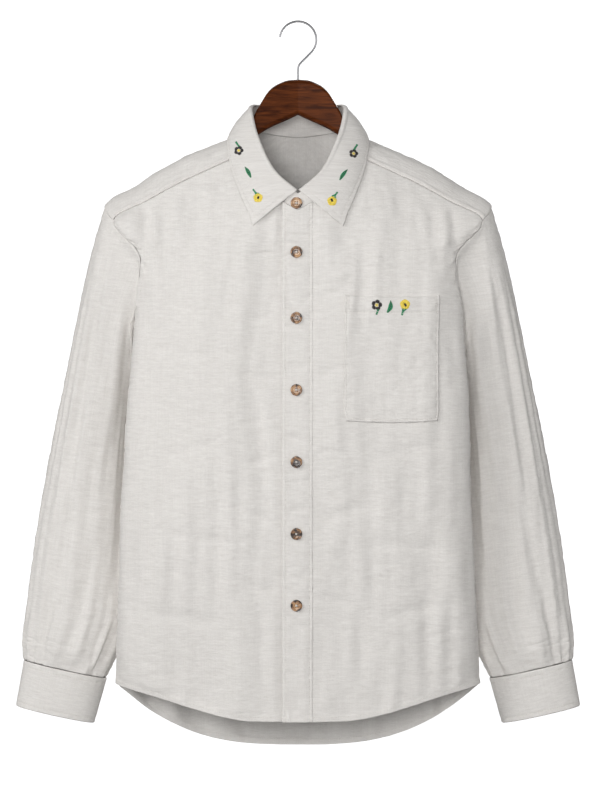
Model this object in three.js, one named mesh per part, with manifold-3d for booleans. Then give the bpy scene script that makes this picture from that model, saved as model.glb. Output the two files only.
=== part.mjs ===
// A long-sleeved oxford shirt, buttoned to the neck, hanging on a contoured wooden hanger with a wire hook.
// Sizes are in millimetres. The origin is the crown of the hook, where a rail carries it.
// +Z is up, the shirt faces -Y, and the wearer's left side is at +X.
// Each cut piece of cloth is its own wall, sewn edge to edge with a seam gap between the solids.
import * as THREE from "three";
import { mergeVertices } from "three/addons/utils/BufferGeometryUtils.js";
import Module from "manifold-3d";

const wasm = await Module();
wasm.setup();

// Cloth and thread sizes
const clothThick = 1.2;
const stiffThick = 1.9;
const seamGap = 0.3;
const sleeveSeamGap = 0.9;

// Driving sizes of the garment
const shoulderHalf = 245;
const hemHalf = 231.5;
const placketLeft = -19.5;
const placketRight = 18.5;
const underLapEdge = 16.5;
const buttonAcross = 14.6;
const pocketSize = { inner: 57, outer: 175, top: -351, bottom: -508, cornerCut: 2 };

// Colours read from the photograph
const clothLook = { color: 0xdedbd6, roughness: 0.9, metalness: 0 };
const hornLook = { color: 0x8a6a48, roughness: 0.35, metalness: 0 };
const woodLook = { color: 0x5b2f1c, roughness: 0.45, metalness: 0 };
const wireLook = { color: 0x9a9a9c, roughness: 0.3, metalness: 1 };

const shirt = new THREE.Group();
shirt.name = "oxford_shirt_on_hanger";

const radians = THREE.MathUtils.degToRad;
const lerp = THREE.MathUtils.lerp;
const power = (base, exponent) => Math.pow(Math.max(base, 0), exponent);
const fade = (t) => THREE.MathUtils.smoothstep(t, 0, 1);

// A curve through the points of a short table that never swings past them.
function curveThrough(at, values) {
  const last = at.length - 1;
  const gap = at.slice(1).map((x, i) => x - at[i]);
  const rise = gap.map((g, i) => (values[i + 1] - values[i]) / g);
  const slope = at.map((_, i) => {
    if (i === 0) return rise[0];
    if (i === last) return rise[last - 1];
    if (rise[i - 1] * rise[i] <= 0) return 0;
    const before = 2 * gap[i] + gap[i - 1];
    const after = gap[i] + 2 * gap[i - 1];
    return (before + after) / (before / rise[i - 1] + after / rise[i]);
  });
  return (x) => {
    let i = 0;
    while (i < last - 1 && x > at[i + 1]) i += 1;
    const t = THREE.MathUtils.clamp((x - at[i]) / gap[i], 0, 1);
    const h = gap[i];
    const a = (1 + 2 * t) * (1 - t) * (1 - t);
    const b = t * (1 - t) * (1 - t);
    const c = t * t * (3 - 2 * t);
    const d = t * t * (t - 1);
    return a * values[i] + b * h * slope[i] + c * values[i + 1] + d * h * slope[i + 1];
  };
}

// One column of a table as a curve over another column.
function column(rows, over, name) {
  return curveThrough(rows.map((row) => row[over]), rows.map((row) => row[name]));
}

// The neck: an oval that is low at the throat and high at the nape. "round" is degrees from the throat.
const neckOval = { halfWidth: 66, halfDepth: 64, centreY: -22 };
const foldOval = { halfWidth: 61.5, halfDepth: 62, centreY: -21 };
const neckHeights = [
  { round: 0, seam: -246, fold: -225 },
  { round: 30, seam: -224, fold: -198 },
  { round: 60, seam: -185, fold: -152 },
  { round: 90, seam: -144.5, fold: -114 },
  { round: 115, seam: -138, fold: -107.5 },
  { round: 180, seam: -143.5, fold: -105 },
];
const neckSeamZ = column(neckHeights, "round", "seam");
const foldZ = column(neckHeights, "round", "fold");

function ovalPoint(oval, height, round) {
  const a = radians(round);
  return new THREE.Vector3(
    oval.halfWidth * Math.sin(a),
    oval.centreY - oval.halfDepth * Math.cos(a),
    height(Math.abs(round)),
  );
}
const neckSeam = (round) => ovalPoint(neckOval, neckSeamZ, round);
const collarFold = (round) => ovalPoint(foldOval, foldZ, round);

// The body is a set of rings. "turn" goes round each ring in degrees: 0 at the front, 90 at the wearer's left
// side, 180 at the back. "drop" is the way down from the neck seam, measured over the shoulder.
const yokeDrop = 200;
const pitDrop = 405;
const hemDrop = 800;

// The ring over the shoulder points, along the back yoke seam and across the chest
const shoulderRing = { y: -28, z: -238.5, frontBow: 58, frontFall: 61, backBow: 98, backFall: 26 };

// Level sections: where each is widest, how far front and back bow from there, how square the front and back
// turn, and how much the back narrows so that the sleeve hangs behind the front's edge
const sections = [
  { drop: 275, z: -310, halfWidth: 203, edgeY: -33, front: 54, back: 108 },
  { drop: 405, z: -440, halfWidth: 211, edgeY: -36, front: 52, back: 118 },
  { drop: 585, z: -622, halfWidth: 222, edgeY: -32, front: 52, back: 106 },
  { drop: 725, z: -764, halfWidth: 229, edgeY: -24, front: 52, back: 84 },
  { drop: 800, z: 0, halfWidth: hemHalf, edgeY: -17, front: 52, back: 62 },
];
const frontTurns = [4.4, 4, 3.6, 3.2, 2.6];
const backTurns = [2.1, 1.9, 1.8, 1.6, 1.3];
const backNarrows = [0.08, 0.2, 0.16, 0.08, 0];
sections.forEach((row, i) => {
  Object.assign(row, { frontTurn: frontTurns[i], backTurn: backTurns[i], narrow: backNarrows[i] });
});
const sideSpread = 2.2;

// The shirt-tail hem: how far it has risen from the centre to the side seam
const hem = { side: -841, front: -885, back: -928 };
const frontHemRise = curveThrough([0, 0.25, 0.39, 0.58, 0.77, 1], [0, 0.02, 0.12, 0.38, 0.69, 1]);
const backHemCurve = 2.85;

function hemZ(share, atFront) {
  if (atFront) return lerp(hem.front, hem.side, frontHemRise(share));
  return lerp(hem.back, hem.side, power(share, backHemCurve));
}

function sectionPoint(row, turn) {
  const s = Math.sin(radians(turn));
  const c = Math.cos(radians(turn));
  const share = power(Math.abs(s), 2 / sideSpread);
  const bow = c >= 0 ? -row.front * power(c, 2 / row.frontTurn) : row.back * power(-c, 2 / row.backTurn);
  const pinch = c >= 0 ? 1 : 1 - row.narrow * power(-c, 1.5);
  const z = row.z === 0 ? hemZ(share, c >= 0) : row.z;
  return new THREE.Vector3(Math.sign(s) * row.halfWidth * share * pinch, row.edgeY + bow, z);
}

function shoulderPoint(turn) {
  const s = Math.sin(radians(turn));
  const c = Math.cos(radians(turn));
  const bow = c >= 0 ? -shoulderRing.frontBow * power(c, 0.8) : shoulderRing.backBow * power(-c, 0.8);
  const fall = c >= 0 ? shoulderRing.frontFall * power(c, 1.23) : shoulderRing.backFall * power(-c, 0.55);
  return new THREE.Vector3(
    Math.sign(s) * shoulderHalf * power(Math.abs(s), 0.8),
    shoulderRing.y + bow,
    shoulderRing.z - fall,
  );
}

// The neck seam at a turn of the body: the shoulder's ridge meets the neck a little behind its side.
const neckLag = 10;
const neckRound = (turn) => turn + neckLag * Math.sin(radians(turn));
const neckPoint = (turn) => {
  const round = neckRound(turn);
  return neckSeam(round > 180 ? round - 360 : round);
};

// Rings part of the way out along the shoulder, whose ridge lies a little above the straight line
const shoulderSteps = [
  { drop: 100, share: 0.5, rise: 11 },
  { drop: 150, share: 0.765, rise: 7.5 },
];
function betweenPoint(step, turn) {
  const p = neckPoint(turn).lerp(shoulderPoint(turn), step.share);
  p.z += step.rise * power(Math.abs(Math.sin(radians(turn))), 6);
  return p;
}

const stepDrops = shoulderSteps.map((step) => step.drop);
const ringDrops = [0, ...stepDrops, yokeDrop, ...sections.map((row) => row.drop)];

function smoothBodyPoint(turn, drop) {
  const ring = [
    neckPoint(turn),
    ...shoulderSteps.map((step) => betweenPoint(step, turn)),
    shoulderPoint(turn),
    ...sections.map((row) => sectionPoint(row, turn)),
  ];
  return new THREE.Vector3(
    curveThrough(ringDrops, ring.map((p) => p.x))(drop),
    curveThrough(ringDrops, ring.map((p) => p.y))(drop),
    curveThrough(ringDrops, ring.map((p) => p.z))(drop),
  );
}

// The outward direction of a surface given as a function of two values
function outward(surface, u, v, du, dv, vLow, vHigh) {
  const along = surface(u + du, v).sub(surface(u - du, v));
  const down = surface(u, Math.min(v + dv, vHigh)).sub(surface(u, Math.max(v - dv, vLow)));
  return down.cross(along).normalize();
}
const bodyOutward = (surface, turn, drop) => outward(surface, turn, drop, 0.6, 3, 0, hemDrop);

// The largest soft folds of the back: where each lies, how far it drifts round on its way down, its width in
// degrees, and its depth, negative for a trough
const backFolds = [
  { turn: 152, drift: -4, top: 205, bottom: 640, width: 6, depth: -5 },
  { turn: 176, drift: 3, top: 230, bottom: 700, width: 7, depth: 4 },
  { turn: 205, drift: 5, top: 205, bottom: 660, width: 6, depth: -5 },
  { turn: 134, drift: -2, top: 260, bottom: 790, width: 7, depth: 4 },
  { turn: 226, drift: 2, top: 240, bottom: 790, width: 7, depth: 4 },
];

// The largest creases of the fronts, from one place to another as seen from the front
const frontCreases = [
  { fromX: -166, fromZ: -226, toX: -172, toZ: -330, width: 11, depth: -2.4 },
  { fromX: -125, fromZ: -214, toX: -130, toZ: -330, width: 12, depth: -2.2 },
  { fromX: -94, fromZ: -250, toX: -100, toZ: -400, width: 14, depth: -2 },
  { fromX: 166, fromZ: -226, toX: 172, toZ: -330, width: 11, depth: -2.4 },
  { fromX: 126, fromZ: -212, toX: 132, toZ: -310, width: 12, depth: -2 },
  { fromX: -140, fromZ: -470, toX: -118, toZ: -800, width: 22, depth: 2.6 },
  { fromX: 150, fromZ: -560, toX: 128, toZ: -850, width: 22, depth: 2.6 },
  { fromX: -40, fromZ: -600, toX: -66, toZ: -850, width: 16, depth: -2.4 },
  { fromX: 50, fromZ: -640, toX: 72, toZ: -850, width: 16, depth: -2.2 },
];

function creaseHeight(x, z) {
  let height = 0;
  for (const crease of frontCreases) {
    const runX = crease.toX - crease.fromX;
    const runZ = crease.toZ - crease.fromZ;
    const length = Math.hypot(runX, runZ);
    const way = ((x - crease.fromX) * runX + (z - crease.fromZ) * runZ) / (length * length);
    if (way <= 0 || way >= 1) continue;
    const off = ((x - crease.fromX) * runZ - (z - crease.fromZ) * runX) / length;
    const across = Math.exp(-((off / crease.width) ** 2));
    height += crease.depth * across * fade(way / 0.3) * fade((1 - way) / 0.3);
  }
  return height;
}

function foldHeight(folds, turn, drop) {
  let height = 0;
  for (const fold of folds) {
    const way = (drop - fold.top) / (fold.bottom - fold.top);
    if (way <= 0 || way >= 1) continue;
    let off = turn - fold.turn - fold.drift * way;
    off -= 360 * Math.round(off / 360);
    const across = Math.exp(-((off / fold.width) ** 2));
    height += fold.depth * across * fade(way / 0.25) * fade((1 - way) / 0.35);
  }
  return height;
}

function bodyPoint(turn, drop) {
  const p = smoothBodyPoint(turn, drop);
  const atFront = Math.cos(radians(turn)) > 0;
  const height = atFront ? creaseHeight(p.x, p.z) : foldHeight(backFolds, turn, drop);
  if (height === 0) return p;
  return p.addScaledVector(bodyOutward(smoothBodyPoint, turn, drop), height);
}

// The turn at which the body's surface is at a given x, at the front
function frontTurnAt(x, drop) {
  let low = -70;
  let high = 70;
  for (let i = 0; i < 30; i += 1) {
    const middle = (low + high) / 2;
    if (smoothBodyPoint(middle, drop).x < x) low = middle;
    else high = middle;
  }
  return (low + high) / 2;
}

// Seams of the body, on the wearer's left side; the right side mirrors them.
const yokeNeckTurn = 62.6;
const yokeEndTurn = 69;
const yokeBackTurn = 108;
const yokeSeamTurn = (drop) => lerp(yokeNeckTurn, yokeEndTurn, power(drop / yokeDrop, 1.8));
const armholeCentre = curveThrough([yokeDrop, 275, pitDrop], [90, 104, 108]);
function armholeHalf(drop) {
  const way = (drop - yokeDrop) / (pitDrop - yokeDrop);
  return 18 * lerp(1, 0.72, fade(way / 0.35)) * Math.sqrt(Math.max(0, 1 - way ** 3));
}
const armholeFront = curveThrough([yokeDrop, 240, 300, 360, pitDrop], [yokeEndTurn, 72.5, 80, 94, 108]);
const sideSeamTurn = curveThrough([pitDrop, hemDrop], [108, 94]);
const frontEdgeTurn = (drop) => {
  if (drop <= yokeDrop) return yokeSeamTurn(drop);
  return drop < pitDrop ? armholeFront(drop) : sideSeamTurn(drop);
};
const backEdgeTurn = (drop) => {
  if (drop < pitDrop) return armholeCentre(drop) + armholeHalf(drop);
  return sideSeamTurn(drop);
};

// Rows of the panels: over the shoulder, down the armhole, and down the side
const shoulderRows = 6;
const armholeRows = 12;
const sideRows = 9;
const yokeEndColumns = 12;
const shoulderDrops = Array.from({ length: shoulderRows + 1 }, (_, i) => (yokeDrop * i) / shoulderRows);
const armholeDrops = Array.from({ length: armholeRows + 1 }, (_, i) => {
  const way = i / armholeRows;
  return lerp(yokeDrop, pitDrop, Math.sin(way * Math.PI * 0.5) * 0.35 + way * 0.65);
});
const sideDrops = Array.from({ length: sideRows + 1 }, (_, i) => lerp(pitDrop, hemDrop, i / sideRows));
const panelDrops = [...shoulderDrops, ...armholeDrops.slice(1), ...sideDrops.slice(1)];
const backDrops = [...armholeDrops, ...sideDrops.slice(1)];

// A closed wall from a grid of points and outward directions: grid[row][column]. The wall lies inward of the
// points by "thick". A wall that closes on itself round its columns is a tube.
function wallGeometry(points, directions, thick, isTube = false) {
  const rows = points.length;
  const columns = points[0].length;
  const positions = [];
  for (const inward of [0, thick]) {
    points.forEach((line, r) => line.forEach((p, c) => {
      const q = p.clone().addScaledVector(directions[r][c], -inward);
      positions.push(q.x, q.y, q.z);
    }));
  }
  const outer = (r, c) => r * columns + (c % columns);
  const inner = (r, c) => rows * columns + outer(r, c);
  const faces = [];
  const quad = (a, b, c, d) => faces.push(a, b, c, a, c, d);
  const spans = isTube ? columns : columns - 1;
  for (let r = 0; r < rows - 1; r += 1) {
    for (let c = 0; c < spans; c += 1) {
      quad(outer(r, c), outer(r + 1, c), outer(r + 1, c + 1), outer(r, c + 1));
      quad(inner(r, c), inner(r, c + 1), inner(r + 1, c + 1), inner(r + 1, c));
    }
    if (isTube) continue;
    quad(outer(r, 0), inner(r, 0), inner(r + 1, 0), outer(r + 1, 0));
    const e = columns - 1;
    quad(outer(r, e), outer(r + 1, e), inner(r + 1, e), inner(r, e));
  }
  for (let c = 0; c < spans; c += 1) {
    quad(outer(0, c), outer(0, c + 1), inner(0, c + 1), inner(0, c));
    const e = rows - 1;
    quad(outer(e, c), inner(e, c), inner(e, c + 1), outer(e, c + 1));
  }
  const geometry = new THREE.BufferGeometry();
  geometry.setAttribute("position", new THREE.BufferAttribute(new Float32Array(positions), 3));
  geometry.setIndex(faces);
  return facingOut(geometry);
}

// Turns every face round if the closed surface faces inward.
function facingOut(geometry) {
  const p = geometry.getAttribute("position");
  const index = geometry.getIndex().array;
  const corner = (i) => new THREE.Vector3().fromBufferAttribute(p, index[i]);
  let volume = 0;
  for (let i = 0; i < index.length; i += 3) volume += corner(i).dot(corner(i + 1).cross(corner(i + 2)));
  if (volume < 0) {
    for (let i = 0; i < index.length; i += 3) [index[i + 1], index[i + 2]] = [index[i + 2], index[i + 1]];
  }
  return geometry;
}

// Draws the border of a grid in by half the seam gap, so that it stops short of its neighbour's.
function trimmed(points, sides, by = seamGap / 2) {
  const rows = points.length;
  const columns = points[0].length;
  const pull = (r, c, dr, dc) => {
    const way = points[r + dr][c + dc].clone().sub(points[r][c]).normalize();
    points[r][c].addScaledVector(way, by);
  };
  if (sides.includes("top")) for (let c = 0; c < columns; c += 1) pull(0, c, 1, 0);
  if (sides.includes("bottom")) for (let c = 0; c < columns; c += 1) pull(rows - 1, c, -1, 0);
  if (sides.includes("first")) for (let r = 0; r < rows; r += 1) pull(r, 0, 0, 1);
  if (sides.includes("last")) for (let r = 0; r < rows; r += 1) pull(r, columns - 1, 0, -1);
  return points;
}

function addPiece(name, geometry, look) {
  const mesh = new THREE.Mesh(geometry, new THREE.MeshStandardMaterial(look));
  mesh.name = name;
  shirt.add(mesh);
  return mesh;
}

// The other side's piece: the same geometry mirrored in the plane x = 0
function mirrored(geometry) {
  const copy = geometry.clone().applyMatrix4(new THREE.Matrix4().makeScale(-1, 1, 1));
  return facingOut(copy);
}

// A panel of the body: rows at the given drops, with columns spread between two turns of each row.
function bodyPanel(drops, firstTurn, lastTurn, shares, lift = () => 0) {
  const points = [];
  const directions = [];
  for (const drop of drops) {
    const from = firstTurn(drop);
    const to = lastTurn(drop);
    const turns = shares.map((share) => lerp(from, to, share));
    const out = turns.map((turn) => bodyOutward(bodyPoint, turn, drop));
    directions.push(out);
    points.push(turns.map((turn, i) => {
      const p = bodyPoint(turn, drop);
      return p.addScaledVector(out[i], lift(p));
    }));
  }
  return { points, directions };
}

// Columns that crowd a little towards the side, where the cloth turns
const frontColumns = 12;
const frontShares = Array.from({ length: frontColumns + 1 }, (_, i) => {
  const t = i / frontColumns;
  return t * 0.55 + Math.asin(Math.pow(t, 1.1)) / (Math.PI / 2) * 0.45;
});

// Fronts: the wearer's right front runs under the left by the button stand and sinks beneath it.
const layerStep = clothThick + seamGap;
const lapStep = layerStep + 0.8;
const placketLift = layerStep + 0.5;
function frontGeometry(isLeft) {
  const edgeX = isLeft ? placketLeft + 1 : underLapEdge;
  const edge = (drop) => (isLeft ? 1 : -1) * frontTurnAt(edgeX, drop);
  const sink = (p) => -lapStep * fade((34 + p.x) / 12);
  const { points, directions } = isLeft
    ? bodyPanel(panelDrops, edge, frontEdgeTurn, frontShares)
    : bodyPanel(panelDrops, (d) => -edge(d), (d) => -frontEdgeTurn(d), frontShares, sink);
  return wallGeometry(trimmed(points, ["last"]), directions, clothThick);
}

function buildFronts() {
  addPiece("front_left", frontGeometry(true), clothLook);
  addPiece("front_right", frontGeometry(false), clothLook);
}

// Yoke: over both shoulders from the front yoke seams to the back yoke seam
const backColumns = 18;
const yokeEndTurnAt = curveThrough([0, yokeEndColumns / 2, yokeEndColumns], [yokeEndTurn, 90, yokeBackTurn]);
function yokeTurns() {
  const turns = [];
  for (let i = 0; i <= yokeEndColumns; i += 1) turns.push(yokeEndTurnAt(i));
  for (let i = 1; i < backColumns; i += 1) {
    turns.push(lerp(yokeBackTurn, 360 - yokeBackTurn, i / backColumns));
  }
  for (let i = yokeEndColumns; i >= 0; i -= 1) turns.push(360 - yokeEndTurnAt(i));
  return turns;
}

function buildYoke() {
  const shares = yokeTurns().map((turn) => (turn - yokeEndTurn) / (360 - 2 * yokeEndTurn));
  const farSeam = (drop) => 360 - yokeSeamTurn(drop);
  const { points, directions } = bodyPanel(shoulderDrops, yokeSeamTurn, farSeam, shares);
  const edges = trimmed(points, ["first", "last", "bottom"]);
  addPiece("yoke", wallGeometry(edges, directions, clothThick), clothLook);
}

function buildBack() {
  const shares = Array.from({ length: backColumns + 1 }, (_, i) => i / backColumns);
  const farEdge = (drop) => 360 - backEdgeTurn(drop);
  const { points, directions } = bodyPanel(backDrops, backEdgeTurn, farEdge, shares);
  const edges = trimmed(points, ["top", "first", "last"]);
  addPiece("back", wallGeometry(edges, directions, clothThick), clothLook);
}

// Placket: a strip down the edge of the left front, on top of it
function buildPlacket() {
  const shares = [0, 0.5, 1];
  const { points, directions } = bodyPanel(
    panelDrops,
    (drop) => frontTurnAt(placketLeft, drop),
    (drop) => frontTurnAt(placketRight, drop),
    shares,
    () => placketLift,
  );
  addPiece("placket", wallGeometry(trimmed(points, ["top"], 1.2), directions, clothThick), clothLook);
}

// The body drop at which the front's surface is at a given height
function dropAtHeight(turn, z) {
  let low = 0;
  let high = hemDrop;
  for (let i = 0; i < 30; i += 1) {
    const middle = (low + high) / 2;
    if (smoothBodyPoint(turn, middle).z > z) low = middle;
    else high = middle;
  }
  return (low + high) / 2;
}

// A point of the front, with folds, at a given x and height
function frontPointAt(x, z) {
  let low = -88;
  let high = 88;
  for (let i = 0; i < 20; i += 1) {
    const middle = (low + high) / 2;
    if (smoothBodyPoint(middle, dropAtHeight(middle, z)).x < x) low = middle;
    else high = middle;
  }
  const turn = (low + high) / 2;
  const drop = dropAtHeight(turn, z);
  return { point: bodyPoint(turn, drop), direction: bodyOutward(bodyPoint, turn, drop) };
}

// Patch pocket on the wearer's left chest, laid on the front's own points; its mouth stands a little open.
function buildPocket() {
  const rows = 8;
  const columns = 8;
  const mouthOpen = 1.2;
  const points = [];
  const directions = [];
  for (let r = 0; r <= rows; r += 1) {
    const down = r / rows;
    const z = lerp(pocketSize.top, pocketSize.bottom, down);
    const cut = pocketSize.cornerCut * power((down - 0.9) / 0.1, 1.5);
    const line = [];
    const out = [];
    for (let c = 0; c <= columns; c += 1) {
      const share = c / columns;
      const x = lerp(pocketSize.inner + cut, pocketSize.outer - cut, share);
      const sag = 2.2 * Math.sin(Math.PI * share) * (down - 0.5) * 2;
      const { point, direction } = frontPointAt(x, z - Math.max(sag, 0));
      const open = mouthOpen * Math.sin(Math.PI * share) * power(1 - down * 4, 2);
      line.push(point.addScaledVector(direction, layerStep + 0.6 + open));
      out.push(direction);
    }
    points.push(line);
    directions.push(out);
  }
  addPiece("pocket", wallGeometry(points, directions, clothThick), clothLook);
}

// The armhole as a closed loop of points, from the shoulder point down the front to the pit and up the back
const armholeLoop = [];
for (let i = 0; i < yokeEndColumns / 2; i += 1) {
  armholeLoop.push({ turn: yokeEndTurnAt(yokeEndColumns / 2 - i), drop: yokeDrop });
}
for (let i = 0; i < armholeRows; i += 1) {
  armholeLoop.push({ turn: frontEdgeTurn(armholeDrops[i] + (i === 0 ? 1e-6 : 0)), drop: armholeDrops[i] });
}
for (let i = armholeRows; i > 0; i -= 1) {
  armholeLoop.push({ turn: backEdgeTurn(armholeDrops[i]), drop: armholeDrops[i] });
}
for (let i = 0; i < yokeEndColumns / 2; i += 1) {
  armholeLoop.push({ turn: yokeEndTurnAt(yokeEndColumns - i), drop: yokeDrop });
}
const sleeveColumns = armholeLoop.length;

// Sleeve rings: the outer and inner edge of each as seen from the front, and its half depth
const sleeveRings = [
  { way: 0.07, outerX: 257, outerZ: -274, outerY: -20, innerX: 203, innerZ: -449, innerY: 20, halfDepth: 45 },
  { way: 0.17, outerX: 276, outerZ: -350, outerY: -4, innerX: 196, innerZ: -468, innerY: 36, halfDepth: 47 },
  { way: 0.29, outerX: 293, outerZ: -430, outerY: 12, innerX: 193, innerZ: -500, innerY: 50, halfDepth: 48 },
  { way: 0.42, outerX: 309, outerZ: -508, outerY: 22, innerX: 195, innerZ: -548, innerY: 53, halfDepth: 46 },
  { way: 0.55, outerX: 323.5, outerZ: -585, outerY: 27, innerX: 199, innerZ: -613, innerY: 50, halfDepth: 45 },
  { way: 0.68, outerX: 336.5, outerZ: -662, outerY: 28, innerX: 205, innerZ: -688, innerY: 46, halfDepth: 43 },
  { way: 0.81, outerX: 347, outerZ: -738, outerY: 27, innerX: 212, innerZ: -760, innerY: 40, halfDepth: 40 },
  { way: 0.92, outerX: 352, outerZ: -788, outerY: 25, innerX: 230, innerZ: -803, innerY: 33, halfDepth: 33 },
  { way: 1, outerX: 351.5, outerZ: -815, outerY: 23, innerX: 247, innerZ: -838.5, innerY: 28, halfDepth: 25 },
];
const cuffRings = [
  { way: 0, outerX: 352.5, outerZ: -815.5, outerY: 23, innerX: 246, innerZ: -839.5, innerY: 28, halfDepth: 26 },
  { way: 1, outerX: 362.5, outerZ: -874, outerY: 21, innerX: 262, innerZ: -897, innerY: 26, halfDepth: 24 },
];
const ringKeys = ["outerX", "outerZ", "outerY", "innerX", "innerZ", "innerY", "halfDepth"];
const ringSquare = 2.25;

function ringCurves(rings) {
  return Object.fromEntries(ringKeys.map((key) => [key, column(rings, "way", key)]));
}
const sleeveCurve = ringCurves(sleeveRings);
const cuffCurve = ringCurves(cuffRings);

// A point of an arm ring. "round" is 0 at the outer edge, 90 at the front, 180 at the inner edge.
function armPoint(curve, way, round, grow = 0) {
  const c = Math.cos(radians(round));
  const s = Math.sin(radians(round));
  const outer = new THREE.Vector3(curve.outerX(way), curve.outerY(way), curve.outerZ(way));
  const inner = new THREE.Vector3(curve.innerX(way), curve.innerY(way), curve.innerZ(way));
  const centre = outer.clone().lerp(inner, 0.5);
  const half = outer.sub(centre);
  const widthShare = Math.sign(c) * power(Math.abs(c), 2 / ringSquare) * (1 + grow / half.length());
  const depth = Math.sign(s) * power(Math.abs(s), 2 / ringSquare) * (curve.halfDepth(way) + grow);
  return centre.addScaledVector(half, widthShare).add(new THREE.Vector3(0, -depth, 0));
}

// Long soft troughs of the sleeve, and the gathers above the cuff
const sleeveFolds = [
  { turn: 62, drift: -8, top: 0.06, bottom: 0.62, width: 11, depth: -2.8 },
  { turn: 96, drift: 6, top: 0.04, bottom: 0.5, width: 12, depth: 2.1 },
  { turn: 78, drift: -22, top: 0.5, bottom: 0.97, width: 11, depth: -3.2 },
  { turn: 116, drift: -8, top: 0.55, bottom: 0.98, width: 11, depth: -2.5 },
  { turn: 265, drift: 12, top: 0.08, bottom: 0.6, width: 13, depth: -3.2 },
  { turn: 300, drift: -10, top: 0.45, bottom: 0.96, width: 12, depth: -2.8 },
];
const gatherCount = 9;
const gatherDepth = 2.6;

const loopRound = (i) => (360 * i) / sleeveColumns;

function sleevePoint(i, way) {
  const round = loopRound(i);
  const folded = foldHeight(sleeveFolds, round, way);
  const nearCuff = fade((way - 0.8) / 0.13) * (0.35 + 0.65 * fade((1 - way) / 0.05));
  const gathered = gatherDepth * nearCuff * Math.cos(radians(round * gatherCount));
  const grow = folded + gathered;
  const firstWay = sleeveRings[0].way;
  const onRing = armPoint(sleeveCurve, Math.max(way, firstWay), round, grow);
  if (way >= firstWay) return onRing;
  const { turn, drop } = armholeLoop[i % sleeveColumns];
  return smoothBodyPoint(turn, drop).lerp(onRing, way / firstWay);
}

const upperWays = [0, 0.035, 0.07, 0.12, 0.18, 0.25, 0.33, 0.42, 0.51];
const lowerWays = [0.6, 0.69, 0.77, 0.84, 0.9, 0.95, 0.98, 1];
const sleeveWays = [...upperWays, ...lowerWays];
const sleeveLoop = Array.from({ length: sleeveColumns }, (_, i) => i);

// Directions square to a tube's surface, from its own neighbouring points
function tubeDirections(points) {
  const rows = points.length;
  const columns = points[0].length;
  return points.map((line, r) => line.map((_, c) => {
    const along = line[(c + 1) % columns].clone().sub(line[(c + columns - 1) % columns]);
    const down = points[Math.min(r + 1, rows - 1)][c].clone().sub(points[Math.max(r - 1, 0)][c]);
    return along.cross(down).normalize();
  }));
}

function sleeveGeometry() {
  const points = sleeveWays.map((way) => sleeveLoop.map((i) => sleevePoint(i, way)));
  for (let c = 0; c < sleeveColumns; c += 1) {
    const way = points[1][c].clone().sub(points[0][c]).normalize();
    points[0][c].addScaledVector(way, sleeveSeamGap);
    const back = points.at(-2)[c].clone().sub(points.at(-1)[c]).normalize();
    points.at(-1)[c].addScaledVector(back, 0.2);
  }
  const directions = tubeDirections(points);
  return wallGeometry(points, directions, clothThick, true);
}

// Cuff: a stiff band whose end laps over its start at the back, where it buttons
const cuffLapStart = 262;
const cuffLap = 24;
function cuffPoint(round, way) {
  const lapped = fade((round - cuffLapStart - 352) / 8);
  return armPoint(cuffCurve, way, round, lapped * (stiffThick + seamGap));
}

function cuffGeometry() {
  const columns = 32;
  const ways = [0, 0.5, 1];
  const step = (360 + cuffLap) / columns;
  const rounds = Array.from({ length: columns + 1 }, (_, i) => cuffLapStart + step * i);
  const points = ways.map((way) => rounds.map((round) => cuffPoint(round, way)));
  const directions = ways.map((way) => rounds.map((round) => {
    const along = cuffPoint(round + 1, way).sub(cuffPoint(round - 1, way));
    const down = cuffPoint(round, way + 0.05).sub(cuffPoint(round, way - 0.05));
    return along.cross(down).normalize();
  }));
  return wallGeometry(points, directions, stiffThick);
}

function buildArms() {
  const sleeve = sleeveGeometry();
  const cuff = cuffGeometry();
  addPiece("sleeve_left", sleeve, clothLook);
  addPiece("sleeve_right", mirrored(sleeve), clothLook);
  addPiece("cuff_left", cuff, clothLook);
  addPiece("cuff_right", mirrored(cuff), clothLook);
}

// Collar band: stands on the neck seam, and its wearer's left end laps over the right one at the throat.
const bandEndRound = 15;
const bandLapStep = stiffThick + seamGap + 0.2;
const sideways = (round) => new THREE.Vector3(Math.sin(radians(round)), -Math.cos(radians(round)), 0);
const wrapRound = (round) => (round > 180 ? round - 360 : round);

function bandPoint(round, up) {
  const low = neckSeam(wrapRound(round));
  const high = collarFold(wrapRound(round));
  const under = fade((round - 360 + bandEndRound + 16) / 14);
  return low.lerp(high, up).addScaledVector(sideways(round), -under * bandLapStep);
}

function buildCollarBand() {
  const columns = 42;
  const ups = [0.012, 0.5, 1];
  const rounds = Array.from({ length: columns + 1 }, (_, i) => (
    lerp(-bandEndRound, 360 + bandEndRound, i / columns)
  ));
  const points = ups.map((up) => rounds.map((round) => bandPoint(round, up)));
  const directions = ups.map(() => rounds.map(sideways));
  addPiece("collar_band", wallGeometry(points, directions, stiffThick), clothLook);
}

// Collar leaf: rolls over the band and falls to an edge that lies on the body. "round" is degrees along the
// fold from the throat; "turn" and "drop" say where on the body the leaf's edge lies.
const leafEdge = [
  { round: 6, turn: 16.3, drop: 102.5 },
  { round: 20, turn: 23.7, drop: 71.4 },
  { round: 35, turn: 31, drop: 55.2 },
  { round: 50, turn: 40, drop: 43 },
  { round: 65, turn: 52, drop: 35 },
  { round: 80, turn: 67, drop: 29.5 },
  { round: 100, turn: 86, drop: 26 },
  { round: 125, turn: 113, drop: 18 },
  { round: 150, turn: 143, drop: 13 },
  { round: 180, turn: 180, drop: 11 },
];
const leafTurn = column(leafEdge, "round", "turn");
const leafDrop = column(leafEdge, "round", "drop");
const leafStart = leafEdge[0].round;
const rollRadius = stiffThick / 2 + 2 * seamGap + stiffThick;
const leafRest = stiffThick + 0.6;
const leafBulge = 3.5;

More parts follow.
